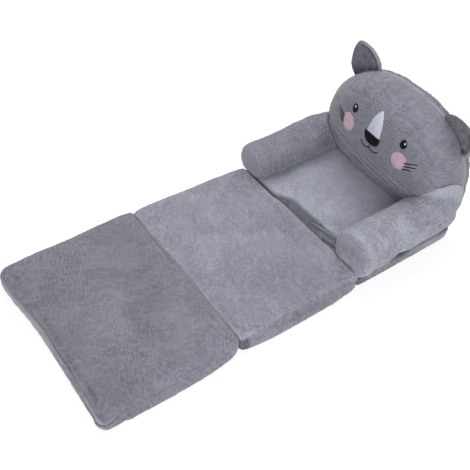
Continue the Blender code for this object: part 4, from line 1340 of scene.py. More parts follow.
def make_head(settings):
    """The head's two skins, sewn at the seam, and its filling."""
    finishes = materials()
    points, faces, parts, fields = head_form(108, 96)
    foot = points[:, 2] < seat_top(*points[:, :2].T) + SEAT_CLEARANCE + 0.0003
    sewn = foot | (np.abs(fields["reach"]) < 0.001)
    points = puckered(points, faces, sewn, 4.0, 0.020, 131, 1.0, 0.0026)
    points, normal, faces, parts, fields = refined(points, faces, parts, fields)
    parts = np.where(fields["reach"][faces].mean(1) > -SEAM_BACK, 0, 2)
    reach = fields["reach"] + SEAM_BACK
    x, rise = points[:, 0], points[:, 2] - HEAD_CENTRE_Z
    angle = np.arctan2(rise / HEAD_TOP_RISE, x / HEAD_HALF_WIDTH)
    front = reach > 0
    free = rising(points[:, 2] - PANEL_HEIGHT, 0.004, 0.012)
    out = seam_profile(reach, 0.0018, settings.seam_groove * 1.3)
    out += 0.0026 * gathers(angle * 0.23, 0.027, 7) * hump(reach, 0, 0.018)
    pleats = rising(np.abs(x), 0.17, 0.05) * smooth_step(1 - np.abs(rise + 0.01) / 0.10)
    out += np.where(front, 0.0026 * pleats * (gathers(rise + 0.25 * np.abs(x), 0.019, 8) + 0.4), 0)
    slack = smooth_step(1 - (rise + 0.09) / 0.15) * falling(np.abs(x), 0.26, 0.05)
    slant = rise + 0.22 * x + 0.010 * waves(points, 0.12, 3)
    out += np.where(front, 0.0022 * slack * (gathers(slant, 0.026, 9) + 0.45), 0)
    slant += 0.004 * waves(points, 0.05, 4)
    out += np.where(front, 0.0018 * slack * (gathers(slant, 0.012, 10) + 0.45), 0)
    out += 0.0016 * waves(points, 0.085, 13) + 0.0006 * waves(points, 0.034, 14)
    out += folds(points, face_folds(FACE_PATHS)) * front
    points = points + normal * (out * free)[:, None]
    points[:, 2] = np.maximum(points[:, 2], seat_top(*points[:, :2].T) + SEAT_CLEARANCE)
    # Painted light and shade: a painted highlight in a band by the seam in the upper half, painted shade low
    # down towards the seat, more on the face, and painted shade in valleys and painted highlight on ridges.
    low = smooth_step(1 - (points[:, 2] - PANEL_HEIGHT) / 0.10)
    rubbing_and_highlight = 0.55 + 0.25 * waves(points, 0.08, 15)
    fields["crease"] = -rubbing_and_highlight * hump(reach, 0.016, 0.006) * smooth_step(rise / 0.08)
    fields["crease"] += np.where(front, 0.50, 0.1) * low
    fields["crease"] += (0.85 - 0.60 * rising(rise, -0.02, 0.08)) * hollows(points, faces, normal)
    for name, part in (("head_front", 0), ("head_rear", 2)):
        skin, quads, kept = cut_out(points, faces, {"crease": fields["crease"]}, parts == part)
        finish_piece(
            f"{name}_plush", skin, quads, finishes["head plush"], "seat", [name], kept,
            settings.plush_thickness,
        )
    stuffing, quads, _, _ = head_form(36, 32, HEAD_FILLING_INSET)
    finish_piece(
        "head_stuffing", stuffing, quads, finishes["fibre"], "seat", ["head_filling"],
    )


def head_size(points):
    """Size of the head-shaped form through each point, where the head is 1: the m-th root of
    |outline share|^m + |depth share|^m. Also the heights over the head's middle and the depths."""
    rise = points[:, 2] - HEAD_CENTRE_Z
    back = points[:, 1] - seam_y(rise)
    power = np.where(back < 0, HEAD_FRONT_POWER, HEAD_REAR_POWER)
    depth = np.where(back < 0, HEAD_FRONT_DEPTH, HEAD_REAR_DEPTH)
    depth = depth * np.where(back < 0, fullness(points[:, 2], -1), 1)
    size = (outline_share(points[:, 0], rise) ** power + (np.abs(back) / depth) ** power) ** (1 / power)
    return size, rise, back


def clear_of_head(points, gap=0.0005, soft=0.0):
    """Points inside the head moved out to its surface, on a line from the head's middle. With soft, the
    step at its surface is a fillet: least + soft log(1 + exp((size - least) / soft))."""
    size, rise, back = head_size(points)
    least = 1 + gap / 0.12
    wanted = least + soft * np.logaddexp(0, (size - least) / soft) if soft else np.maximum(size, least)
    grow = wanted / np.maximum(size, 0.05)
    moved = points.copy()
    moved[:, 0] = points[:, 0] * grow
    moved[:, 2] = HEAD_CENTRE_Z + rise * grow
    moved[:, 1] = seam_y(moved[:, 2] - HEAD_CENTRE_Z) + back * grow
    return moved


# Arms


def arm_place(arm, share, scale, angle):
    """One section of an arm: an oval with its foot pressed flat on the seat, turned in towards the back."""
    turn = np.maximum((share - ARM_TURN_SHARE) / (1 - ARM_TURN_SHARE), 0) ** 2
    centre = PANEL_WIDTH / 2 + arm["overhang"] - arm["half_width"] - ARM_BACK_TURN * turn
    x = arm["side"] * centre + arm["half_width"] * scale * np.cos(angle)
    y = ARM_FRONT_Y + ARM_LENGTH * share + 0 * angle
    middle = PANEL_HEIGHT + arm["half_height"] - arm["squash"]
    z = middle + arm["half_height"] * scale * np.sin(angle)
    return np.stack([x, y, np.maximum(z, seat_top(x, y) + SEAT_CLEARANCE)], -1)


def arm_scale(share):
    """A slight swell along the arm, a rounded front edge and a domed back end."""
    edge = ARM_EDGE_ROUND / ARM_LENGTH
    swell = 1 + ARM_SWELL_SHARE * math.sin(math.pi * share)
    if share < edge:
        return ARM_RIM_SHARE + (swell - ARM_RIM_SHARE) * math.sqrt(1 - (1 - share / edge) ** 2)
    if share > ARM_DOME_SHARE:
        along = (share - ARM_DOME_SHARE) / (1 - ARM_DOME_SHARE)
        return swell * max(math.sqrt(max(1 - along**2, 0)), ARM_TIP_SHARE)
    return swell


def arm_form(arm, cells, length_cells):
    """An arm: its front disc grid, rings along it and a small grid that closes its back end."""
    u, v = square_grid(cells, cells)
    level, angle = disc_places(u, v)
    i, j = border(cells, cells)
    disc = arm_place(arm, 0.0, ARM_RIM_SHARE * level, angle)
    disc[..., 1] += -ARM_SEAM_GAP - ARM_DISC_BULGE * (1 - level**2)
    edge = ARM_EDGE_ROUND / ARM_LENGTH
    straight = np.linspace(edge, ARM_DOME_SHARE, length_cells)
    dome = ARM_DOME_SHARE + (1 - ARM_DOME_SHARE) * np.sin(np.linspace(0, math.pi / 2, 18)[1:-1])
    shares = np.concatenate([[0.0, edge * 0.12, edge * 0.4], straight, dome])
    rings = [arm_place(arm, s, arm_scale(s), angle[i, j]) for s in shares]
    last = shares[-1]
    back = arm_place(arm, last, arm_scale(last) * level, angle)
    back[..., 1] += 0.0005
    points, faces, parts = closed_form(disc, rings, back)
    along = np.repeat(shares * ARM_LENGTH, len(i)) + ARM_SEAM_GAP
    reach = np.concatenate([(level.ravel() - 1) * arm["half_width"], along, np.full(level.size, ARM_LENGTH)])
    turn = np.concatenate([angle.ravel(), np.tile(angle[i, j], len(rings)), angle.ravel()])
    fields = {"reach": reach, "cos": np.cos(turn), "sin": np.sin(turn)}
    return points, faces, parts, fields


ARM_FOLDS = {
    "right": (
        ((0.150, 0.300, 0.120), (0.190, 0.380, 0.158), 0.016, -0.0016),
        ((0.262, 0.280, 0.090), (0.272, 0.360, 0.130), 0.015, -0.0016),
        ((0.160, 0.390, 0.130), (0.215, 0.420, 0.160), 0.013, -0.0018),
        ((0.150, 0.190, 0.075), (0.150, 0.260, 0.105), 0.014, -0.0012),
    ),
    "left": (
        ((-0.240, 0.330, 0.145), (-0.170, 0.370, 0.110), 0.012, -0.0020),
        ((-0.235, 0.385, 0.142), (-0.165, 0.405, 0.100), 0.010, -0.0022),
        ((-0.175, 0.300, 0.090), (-0.168, 0.370, 0.075), 0.013, -0.0022),
        ((-0.230, 0.230, 0.145), (-0.190, 0.290, 0.135), 0.016, -0.0016),
        ((-0.280, 0.260, 0.120), (-0.270, 0.330, 0.135), 0.014, -0.0014),
    ),
}


def settled(points, name):
    """An arm as it has settled. The right one hangs over the seat's side in front, is nipped behind that and
    stays full to its end; the left one rises and leans out towards the head."""
    moved = points.copy()
    share = (points[:, 1] - ARM_FRONT_Y) / ARM_LENGTH
    over = np.clip((points[:, 2] - PANEL_HEIGHT) / 0.10, 0, 1)
    if name == "right":
        outside = rising(points[:, 0], 0.238, 0.024)
        low = smooth_step(1 - over / 0.8)
        moved[:, 2] -= 0.004 * outside * low * falling(share, 0.22, 0.08)
        moved[:, 2] += 0.012 * outside * low * hump(share, 0.265, 0.050)
        moved[:, 2] += 0.018 * outside * low * rising(share, 0.22, 0.06)
        moved[:, 2] += 0.003 * outside * low * rising(share, 0.45, 0.12)
        moved[:, 2] += 0.016 * outside * low * rising(share, 0.74, 0.14)
        face = hump(share, 0, 0.07) * smooth_step(1 - over / 0.6)
        moved[:, 1] -= 0.008 * face
        moved[:, 2] -= 0.014 * face
        tail = rising(share, 0.55, 0.35)
        moved[:, 0] += 0.013 * tail * rising(points[:, 0], 0.15, 0.06)
        moved[:, 2] += 0.016 * tail * over
        moved[:, 0] += 0.005 * over * falling(points[:, 0], 0.26, 0.05)
        moved[:, 2] -= 0.005 * over
    else:
        rise = rising(share, 0.20, 0.50)
        moved[:, 2] += 0.014 * rise * over
        moved[:, 0] -= 0.010 * rise * over
        moved[:, 1] -= 0.005 * hump(share, 0, 0.07)
    return moved


def drawn_in(points, cells):
    """An arm's form made slimmer for its filling: each ring shrinks about its middle, more towards the back,
    and both ends move in."""
    grid = (cells + 1) ** 2
    size, tail = ARM_FILLING_SHARES
    front_gap, back_gap = ARM_FILLING_GAPS
    rings = points[grid:-grid].reshape(-1, 4 * cells, 3)
    middles = rings.mean(1)
    front = middles[0] + (points[:grid] - middles[0]) * size + (0, front_gap, 0)
    back = middles[-1] + (points[-grid:] - middles[-1]) * size * 0.5 - (0, back_gap, 0)
    taper = size * np.sqrt(np.linspace(1, tail, len(rings)))[:, None, None]
    rings = middles[:, None] + (rings - middles[:, None]) * taper
    rings[:, :, 1] = np.clip(rings[:, :, 1], front[:, 1].max() + 0.0005, back[:, 1].min() - 0.0005)
    return np.vstack([front, rings.reshape(-1, 3), back])


def make_arm(name, settings):
    """An arm's sleeve, front disc and filling."""
    arm = ARMS[name]
    finishes = materials()
    points, faces, parts, fields = arm_form(arm, 24, 62)
    foot = points[:, 2] < seat_top(*points[:, :2].T) + SEAT_CLEARANCE + 0.0004
    sewn = foot | (np.abs(fields["reach"] - 0.0013) < 0.0015) | (fields["reach"] > 0.97 * ARM_LENGTH)
    points = puckered(points, faces, sewn, 4.0, 0.014, arm["seed"], 1.0, 0.0022)
    points = settled(points, name)
    points, normal, faces, parts, fields = refined(points, faces, parts, fields)
    reach = fields["reach"]
    angle = np.arctan2(fields["sin"], fields["cos"])
    free = rising(points[:, 2] - seat_top(*points[:, :2].T), 0.002, 0.008)
    sleeve = smooth_step(reach / 0.006)
    out = seam_profile(reach - 0.001, 0.0022, settings.seam_groove * (0.2 if name == "right" else 0.5))
    out += 0.0010 * gathers(angle * arm["half_width"], 0.017, arm["seed"]) * hump(reach, 0.001, 0.010)
    broad = 0.0019 * sleeve * waves(points, 0.080, arm["seed"] + 1)
    out += broad + 0.0006 * waves(points, 0.035, arm["seed"] + 2)
    out += folds(points, ARM_FOLDS[name]) * sleeve
    out += 0.0018 * gathers(angle * arm["half_width"], 0.026, arm["seed"] + 5) * rising(reach, 0.20, 0.06)
    points = points + normal * (out * free)[:, None]
    if name == "right":
        climb = np.exp(-np.clip(head_size(points)[0] - 1, -0.05, 1) / 0.06)
        climb = climb * rising(points[:, 2], 0.085, 0.07)
        points[:, 2] += 0.018 * climb * rising(points[:, 0], 0.145, 0.07)
    points = clear_of_head(points, 0.0002, 0.035)
    sunk = front_roll(points[:, 0], points[:, 1] - PANELS["seat"]["y"] + PANEL_LENGTH / 2)[1]
    points[:, 2] = np.maximum(points[:, 2], seat_top(*points[:, :2].T) + SEAT_CLEARANCE - sunk)
    # Painted shade at the joint with the head: darker on the right arm and paler on the left, with a painted
    # dark line along the left joint and a paler line along the upper right one that lightens the groove's
    # shadow; away from the joint, painted shade in valleys and highlight on ridges.
    joint = smooth_step(1.6 - (head_size(points)[0] - 1) / 0.10)
    shade = (0.30 if name == "right" else -0.4) * joint
    line = hump(head_size(points)[0], 1.01, 0.025)
    if name == "right":
        shade -= 0.8 * line * rising(points[:, 2], 0.115, 0.03)
    else:
        shade += 1.3 * line
    shade += 0.40 * hollows(points, faces, normal) * (1 - joint)
    # A painted highlight round the left disc's seam, and a painted shadow low on the right arm's front end
    # where it meets the middle panel.
    if name == "left":
        shade -= 0.7 * smooth_step(1 - reach / 0.006)
    else:
        low = 1.5 * falling(points[:, 2], 0.062, 0.010)
        shade += low * falling(points[:, 0], 0.246, 0.02) * (reach < 0.02)
    for piece, chosen in (("sleeve", parts > 0), ("disc", parts == 0)):
        skin, quads, kept = cut_out(points, faces, {"crease": shade}, chosen)
        finish_piece(
            f"{name}_{piece}_plush", skin, quads, finishes[f"{name} arm plush"], "seat",
            [f"{name}_arm_{piece}"], kept, settings.plush_thickness,
        )
    stuffing, quads, _, _ = arm_form(arm, 12, 30)
    stuffing = clear_of_head(settled(stuffing, name), 0.002)
    stuffing[:, 2] = np.maximum(stuffing[:, 2], seat_top(*stuffing[:, :2].T) + SEAT_CLEARANCE)
    finish_piece(
        f"{name}_arm_stuffing", drawn_in(stuffing, 12), quads, finishes["fibre"], "seat",
        [f"{name}_arm_filling"],
    )


# Ears


def ear_place(ear, share, side, thick):
    """A leaf that stands out of the head's seam: share of its height, side from its middle line in metres,
    and thick, how far to the rear."""
    upward = (1 - EAR_SPREAD_SHARE**HEAD_OUTLINE_POWER) ** (1 / HEAD_OUTLINE_POWER)
    root = np.array([HEAD_HALF_WIDTH * EAR_SPREAD_SHARE, HEAD_TOP_RISE * upward])
    slope = HEAD_OUTLINE_POWER - 1
    normal = np.array([EAR_SPREAD_SHARE**slope / HEAD_HALF_WIDTH, upward**slope / HEAD_TOP_RISE])
    normal /= np.linalg.norm(normal)
    tangent = np.array([normal[1], -normal[0]])
    tilt = math.radians(ear["tilt"])
    outward = ear["height"] * share
    out = outward * math.cos(tilt)
    along = ear["slide"] + ear["widen"] * side - ear["lean_in"] * np.maximum(share, 0)
    x = ear["side"] * (root[0] + normal[0] * out + tangent[0] * along)
    z = HEAD_CENTRE_Z + root[1] + normal[1] * out + tangent[1] * along
    y = seam_y(root[1]) + thick - outward * math.sin(tilt)
    return np.stack([x, y, z], -1)


def ear_half_width(share):
    above = np.maximum(share, 0)
    narrowing = np.clip(1 - np.abs(share) ** EAR_TIP_POWER, 0, 1) ** EAR_TAPER_POWER
    return EAR_HALF_WIDTH * narrowing * (1 + EAR_BELLY_SHARE * above * (1 - above)), narrowing


def ear_form(ear, cells):
    """Front and rear grids of an ear. A level from 0 to 1 runs from a middle place to the leaf's outline,
    and the thickness falls as (1 - level^3)^(1/3)."""
    u, v = square_grid(cells, cells)
    level, angle = disc_places(u * ear["side"], v)
    root = -EAR_ROOT / ear["height"]
    rim_share = root + (0.995 - root) * (1 + np.sin(angle)) / 2
    width, _ = ear_half_width(rim_share)
    straight = np.sign(np.round(np.cos(angle), 9))
    spread_out = np.where(np.sin(angle) < 0, signed_power(np.cos(angle), 0.14), straight)
    rim_side = width * spread_out
    share = 0.35 + (rim_share - 0.35) * level
    side = rim_side * level
    local, narrowing = ear_half_width(share)
    cup = EAR_CUP * np.clip(1 - (side / np.maximum(local, 0.002)) ** 2, 0, 1) * narrowing
    thick = EAR_HALF_THICKNESS * np.sqrt(np.maximum(narrowing, 0)) * np.clip(1 - level**3, 0, 1) ** (1 / 3)
    thick = np.maximum(thick, 0.0005)
    front = ear_place(ear, share, side, cup - thick)
    rear = ear_place(ear, share, side, cup + thick)
    i, j = border(cells, cells)
    rim = ear_place(ear, share[i, j], side[i, j] * 1.004, cup[i, j])
    points, faces, parts = closed_form(front, [rim], rear)
    inward = ((1 - level) * 0.05).ravel()
    reach = np.concatenate([inward, np.full(len(i), 0.0), -inward])
    shares = np.concatenate([share.ravel(), share[i, j], share.ravel()])
    sides = np.concatenate([side.ravel(), side[i, j], side.ravel()])
    return points, faces, parts, {"reach": reach, "share": shares, "side": sides}


def make_ear(name, settings):
    """An ear: two leaves of plush sewn round and turned, with a rolled rim and pleats at the root."""
    ear = EARS[name]
    points, faces, parts, fields = ear_form(ear, 34)
    sewn = (fields["share"] < 0.04) | (np.abs(fields["reach"]) < 0.0004)
    points = puckered(points, faces, sewn, 3.0, 0.02, ear["seed"], 1.0, 0.0014)
    points, normal, faces, parts, fields = refined(points, faces, parts, fields)
    reach, share, side = fields["reach"], fields["share"], fields["side"]
    front = reach > 0
    out = seam_profile(reach, 0.0016, settings.seam_groove)
    rolled = np.where(front, smooth_step(0.5 + 30 * side * ear["side"]), 0)
    out += 0.0022 * rolled * hump(reach, 0.0065, 0.0035)
    out -= 0.0030 * rolled * hump(reach, 0.014, 0.006)
    out += 0.0022 * gathers(side, 0.013, ear["seed"]) * smooth_step(1 - share / 0.45)
    out += 0.0009 * waves(points, 0.035, ear["seed"] + 1)
    points = clear_of_head(points + normal * out[:, None], -0.006)
    # Painted shade inside the ear and near its root, painted shade in valleys and highlight on ridges, and a
    # painted highlight on the rolled rim.
    inner = np.where(front, rising(reach, 0.006, 0.006) * rolled + 1 - rolled, 0)
    shade = 0.42 * inner + 0.45 * smooth_step(1 - share / 0.22) + 0.30 * hollows(points, faces, normal)
    values = {"crease": shade - 0.8 * rolled * hump(reach, 0.005, 0.004)}
    finish_piece(
        f"{name}_ear_plush", points, faces, materials()["ear plush"], "seat", [f"{name}_ear"],
        values,
    )


# Face


def face_surface(x, rise):
    """The Y of the finished face at places across and up: a mean of the face's points near each, weighted
    by exp(-(distance / 2 mm)^2)."""
    points = mesh_points(bpy.data.objects["head_front_plush"].data)
    height = points[:, 2] - HEAD_CENTRE_Z
    margin = 0.012
    near = (points[:, 0] > x.min() - margin) & (points[:, 0] < x.max() + margin)
    near &= (height > rise.min() - margin) & (height < rise.max() + margin)
    near &= points[:, 1] < face_y(points[:, 0], height) + 0.02
    spot, height = points[near], height[near]
    far = (x.ravel()[:, None] - spot[None, :, 0]) ** 2 + (rise.ravel()[:, None] - height[None]) ** 2
    weight = np.exp(-far / 0.0026**2) + 1e-12
    return ((weight @ spot[:, 1]) / weight.sum(1)).reshape(x.shape)


def polar_outline(curve, centre, angle):
    """How far the closed curve is from the centre in each direction."""
    off = curve - centre
    way, far = np.arctan2(off[:, 1], off[:, 0]), np.linalg.norm(off, axis=1)
    order = np.argsort(way)
    return np.interp(angle, way[order], far[order], period=2 * math.pi)


def make_patch(name, curve, centre, material, lift=0.0004, thickness=0.0011, cells=18, edge=5):
    """A sewn patch that follows the face: its outline is a closed curve of places across and up, and it is
    thickness (1 - level^edge) proud of its rim."""
    centre = np.array(centre)
    u, v = square_grid(cells, cells)
    level, angle = disc_places(u, v)
    far = polar_outline(curve, centre, angle) * level
    x, rise = centre[0] + far * np.cos(angle), centre[1] + far * np.sin(angle)
    y = face_surface(x, rise)
    front = np.stack([x, y - lift - thickness * (0.35 + 0.65 * (1 - level**edge)), rise + HEAD_CENTRE_Z], -1)
    back = np.stack([x, y - lift * 0.5, rise + HEAD_CENTRE_Z], -1)
    points, faces, _ = closed_form(front, [], back)
    values = {"rim": np.concatenate([level.ravel(), level.ravel()])}
    return finish_piece(name, points, faces, material, "seat", [name.replace("_patch", "")], values)


def oval_curve(centre, half):
    angle = np.linspace(0, 2 * math.pi, 73)[:-1]
    return np.array(centre) + np.column_stack([half[0] * np.cos(angle), half[1] * np.sin(angle)])


def face_place(shares):
    return np.array(shares) * np.array([HEAD_HALF_WIDTH, HEAD_TOP_RISE])


def blaze_curve():
    """A tongue whose half width is (1 - share^1.6)^0.62 of its foot's."""
    share = np.linspace(0, 1, 60)
    half = BLAZE_HALF_WIDTH * (1 - share**BLAZE_SIDE_POWER) ** BLAZE_TOP_POWER
    rise = BLAZE_RISE + BLAZE_HEIGHT * share
    base = np.linspace(-1, 1, 40)[1:-1] * BLAZE_HALF_WIDTH
    foot = np.column_stack([base, np.full(len(base), BLAZE_RISE)])
    return np.vstack([np.column_stack([half, rise]), np.column_stack([-half[:-1], rise[:-1]])[::-1], foot])


def nose_curve():
    angle = np.linspace(math.pi, 2 * math.pi, 60)
    top = BLAZE_RISE - 0.0003
    x = NOSE_MIDDLE_X + NOSE_HALF_WIDTH * signed_power(np.cos(angle), NOSE_SIDE_POWER)
    line = NOSE_MIDDLE_X + np.linspace(1, -1, 40)[1:-1] * NOSE_HALF_WIDTH
    bow = np.column_stack([x, top + NOSE_HEIGHT * np.sin(angle)])
    return np.vstack([bow, np.column_stack([line, np.full(len(line), top)])])


def face_path(places, lift):
    y = face_surface(places[:, 0], places[:, 1]) - lift
    return np.column_stack([places[:, 0], y, places[:, 1] + HEAD_CENTRE_Z])


def bar(places, lift, radii):
    """A raised bar of satin stitch along places on the face."""
    return tube_form(face_path(places, lift), radii, flat=0.6)


def rounded_ends(share, power, least):
    """Radius share along a line from 0 to 1: sqrt(1 - |2 share - 1|^power), at least the root of least."""
    return np.sqrt(np.clip(1 - (2 * share - 1) ** power, least, 1))


def make_lines():
    """Whiskers and the mouth, as raised bars of satin stitch."""
    thread = materials()["black thread"]
    share = np.linspace(0, 1, 18)
    lift = 0.0008 + 0.0014 * smooth_step(1 - share / 0.4)
    radii = WHISKER_RADIUS * (1 - (1 - WHISKER_TIP_SHARE) * share) * rounded_ends(share, 14, 0.02)
    for name, side in (("right", 1), ("left", -1)):
        for number, ends in enumerate(WHISKERS, 1):
            start, end = face_place(ends["start"]), face_place(ends["end"])
            places = (start + (share * 1.14 - 0.14)[:, None] * (end - start)) * (side, 1.0)
            points, faces = bar(places, lift, radii)
            label = f"{name}_whisker_{number}"
            finish_piece(f"{label}_stitch", points, faces, thread, "seat", [label])
    across, drop = np.linspace(-1, 1, 65), np.linspace(0, 1, 12)
    top = BLAZE_RISE - NOSE_HEIGHT
    bottom = top - PHILTRUM_LENGTH
    bow = -MOUTH_SAG * np.sin(math.pi * np.abs(across)) + MOUTH_LIFT * across**2
    bows = np.column_stack([MOUTH_MIDDLE_X + MOUTH_HALF_WIDTH * across, bottom + bow])
    points, faces = bar(bows, 0.0008, LINE_RADIUS * np.sqrt(np.clip(1 - across**14, 0.03, 1)))
    line = np.column_stack([MOUTH_MIDDLE_X + 0.002 * (1 - drop), top - 0.001 + (bottom - top + 0.001) * drop])
    more, more_faces = bar(line, 0.0008, LINE_RADIUS * rounded_ends(drop, 12, 0.05))
    faces += [[number + len(points) for number in face] for face in more_faces]
    finish_piece(
        "mouth_stitch", np.vstack([points, more]), faces, thread, "seat", ["mouth_line"]
    )


# Settings


def colour_setting(name, description, default):
    return FloatVectorProperty(
        name=name, description=description, default=default, subtype="COLOR", size=3, min=0, max=1
    )


def length_setting(name, description, default, low, high):
    return FloatProperty(
        name=name, description=description, default=default, min=low, max=high, unit="LENGTH"
    )


class SofaColours(bpy.types.PropertyGroup):
    """Colours of the cloths and threads."""

    plush_light: colour_setting("Plush, light", "Plush whose pile lies away", (0.390, 0.396, 0.465))
    plush_dark: colour_setting("Plush, dark", "Plush whose pile stands up", (0.200, 0.202, 0.246))
    plush_tint: colour_setting("Plush, warm", "Tint of the brushed patches", (0.285, 0.272, 0.330))
    black_thread: colour_setting("Black thread", "Eyes, nose, mouth and whiskers", (0.005, 0.005, 0.006))
    cheek_pink: colour_setting("Cheek pink", "Felt of the cheeks", (0.66, 0.445, 0.55))
    blaze_lilac: colour_setting("Blaze lilac", "Satin of the blaze", (0.74, 0.75, 0.92))


class SofaSizes(bpy.types.PropertyGroup):
    """Sizes of the sewn detail."""

    plush_thickness: length_setting("Plush thickness", "Cloth and pile together", 0.0022, 0.001, 0.003)
    base_thickness: length_setting(
        "Base sheet thickness", "Non-woven cloth under the panels", 0.0011, 0.0005, 0.002
    )
    seam_groove: length_setting("Seam groove", "Depth of the valley along a seam", 0.0014, 0.0, 0.003)
    tooth_pitch: length_setting(
        "Zip tooth pitch", "Distance between the turns of the coil", 0.0016, 0.001, 0.004
    )


class SofaStage(bpy.types.PropertyGroup):
    """Light and floor."""

    floor_colour: colour_setting("Floor", "Colour of the floor", (0.82, 0.82, 0.82))
    world_light: FloatProperty(
        name="World light", description="Strength of the even light all round", min=0, max=3, default=0.50
    )
    key_light: FloatProperty(
        name="Key light", description="Power of the large lamp overhead",
        unit="POWER", min=0, max=500, default=40.0,
    )
    fill_light: FloatProperty(
        name="Fill light", description="Power of the lamp at the side",
        unit="POWER", min=0, max=500, default=42.0,
    )


# Operators


class SOFA_OT_panels(bpy.types.Operator):
    """Make the three panels: plush cover, base sheet and foam slab of each"""

    bl_idname = "sofa.panels"
    bl_label = "Make panels"

    def execute(self, context):
        for name, place in PANELS.items():
            make_panel(name, place, context.scene.sofa_sizes)
        return {"FINISHED"}


class SOFA_OT_hinges(bpy.types.Operator):
    """Make the two fabric strips that the panels fold on"""

    bl_idname = "sofa.hinges"
    bl_label = "Make hinge strips"

    def execute(self, context):
        rows = (
            ("middle_hinge", FLOOR_HINGE[0], 0.0014, ("seat", "middle"), 0.0),
            ("end_hinge", TOP_HINGE[0], 0.0494, ("middle", "end"), 0.0012),
        )
        for name, y, z, bodies, depth in rows:
            points, faces, _ = strip_form(y, z, depth)
            # Painted shade on the floor hinge's strip down in its crease, and a painted highlight on the top
            # hinge's strip.
            values = {"crease": np.full(len(points), 0.4 if name == "middle_hinge" else -0.5)}
            obj = finish_piece(
                f"{name}_cloth", points, faces, materials()["strip plush"], None,
                [f"{name}_strip"], values,
            )
            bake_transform(obj)
        return {"FINISHED"}


class SOFA_OT_zips(bpy.types.Operator):
    """Make the three zips: tape, coil and slider of each"""

    bl_idname = "sofa.zips"
    bl_label = "Make zips"

    def execute(self, context):
        for name, place in PANELS.items():
            make_zip(name, place["y"], context.scene.sofa_sizes)
        return {"FINISHED"}


class SOFA_OT_head(bpy.types.Operator):
    """Make the head: front skin, rear skin and stuffing"""

    bl_idname = "sofa.head"
    bl_label = "Make head"

    def execute(self, context):
        make_head(context.scene.sofa_sizes)
        return {"FINISHED"}


class SOFA_OT_arms(bpy.types.Operator):
    """Make both arms: sleeve, end disc and stuffing of each"""

    bl_idname = "sofa.arms"
    bl_label = "Make arms"

    def execute(self, context):
        for name in ARMS:
            make_arm(name, context.scene.sofa_sizes)
        return {"FINISHED"}


class SOFA_OT_ears(bpy.types.Operator):
    """Make both ears"""

    bl_idname = "sofa.ears"
    bl_label = "Make ears"

    def execute(self, context):
        for name in EARS:
            make_ear(name, context.scene.sofa_sizes)
        return {"FINISHED"}


class SOFA_OT_patches(bpy.types.Operator):
    """Make the face's patches: eyes, glints, cheeks, blaze and nose"""

    bl_idname = "sofa.patches"
    bl_label = "Make face patches"

    def execute(self, context):
        finishes = materials()
        for name, side in (("right", 1), ("left", -1)):
            mirror = np.array([side, 1.0])
            eye = face_place(EYE_PLACE_SHARES) * mirror + np.array(EYE_DRIFT)
            make_patch(
                f"{name}_eye_patch", oval_curve(eye, EYE_HALF), eye, finishes["eye thread"]
            )
            glint = eye + np.array(GLINT_OFFSET) + np.array([GLINT_SPREAD * side, 0.0])
            make_patch(
                f"{name}_eye_glint_patch", oval_curve(glint, GLINT_HALF), glint, finishes["white thread"],
                0.0016, 0.0010, 10,
            )
            cheek = face_place(CHEEK_PLACE_SHARES) * mirror
            make_patch(
                f"{name}_cheek_patch", oval_curve(cheek, CHEEK_HALF), cheek, finishes["pink felt"],
                cells=24, edge=10,
            )
        make_patch(
            "blaze_patch", blaze_curve(), (0.0, BLAZE_RISE + 0.45 * BLAZE_HEIGHT), finishes["lilac satin"],
            cells=26, edge=8,
        )
        make_patch(
            "nose_patch", nose_curve(), (0.0, BLAZE_RISE - 0.4 * NOSE_HEIGHT), finishes["black thread"],
            cells=22,
        )
        return {"FINISHED"}


class SOFA_OT_lines(bpy.types.Operator):
    """Make the stitched lines: whiskers and mouth"""

    bl_idname = "sofa.lines"
    bl_label = "Make whiskers and mouth"

    def execute(self, context):
        make_lines()
        return {"FINISHED"}


# Stage: the floor, the lamps (place, width across, and the setting of their power) and the camera
FLOOR_HALF = 5.0
FLOOR_CELLS = 24
FLOOR_DROP = 0.0006
LAMPS = {
    "key lamp": ((-1.2, 0.9, 2.6), 2.2, "key_light"),
    "fill lamp": ((2.4, -1.2, 1.4), 2.0, "fill_light"),
}
CAMERA_PLACE = (0.96562, -0.89848, 1.42121)
CAMERA_TURN = (
    (0.58605341, -0.61730424, 0.52485891),
    (0.80558750, 0.37434609, -0.45923174),
    (0.08700681, 0.69195410, 0.71667938),
)
CAMERA_LENS = 53.85
CAMERA_SENSOR = 36.0


def seen_directly(tree):
    """1 for rays from the camera, and for reflections and transmission, which show the background too."""
    rays = tree.nodes.new("ShaderNodeLightPath").outputs
    seen = math_node(tree, "MAXIMUM", rays["Is Camera Ray"], rays["Is Glossy Ray"])
    return math_node(tree, "MAXIMUM", seen, rays["Is Transmission Ray"])


def paint_floor(name, colour):
    """Pale paint that looks white to the camera and keeps the object's shadow."""
    tree, shader, place = new_material(name, 0.9)
    grain = spread(tree, noise(tree, place, 30.0, 3.0), 0.0, 1.0, 0.97, 1.0)
    tree.links.new(mix_colours(tree, 1.0, colour, grain, "MULTIPLY"), shader.inputs["Base Color"])
    glow = node(tree, "ShaderNodeEmission", {"Strength": 0.80})
    plain = node(tree, "ShaderNodeBsdfDiffuse", {"Color": (0.30, 0.30, 0.30, 1.0)})
    both = node(tree, "ShaderNodeAddShader", {0: plain.outputs[0], 1: glow.outputs[0]})
    given = {0: seen_directly(tree), 1: shader.outputs[0], 2: both.outputs[0]}
    chosen = node(tree, "ShaderNodeMixShader", given)
    tree.links.new(chosen.outputs[0], tree.nodes["Material Output"].inputs["Surface"])


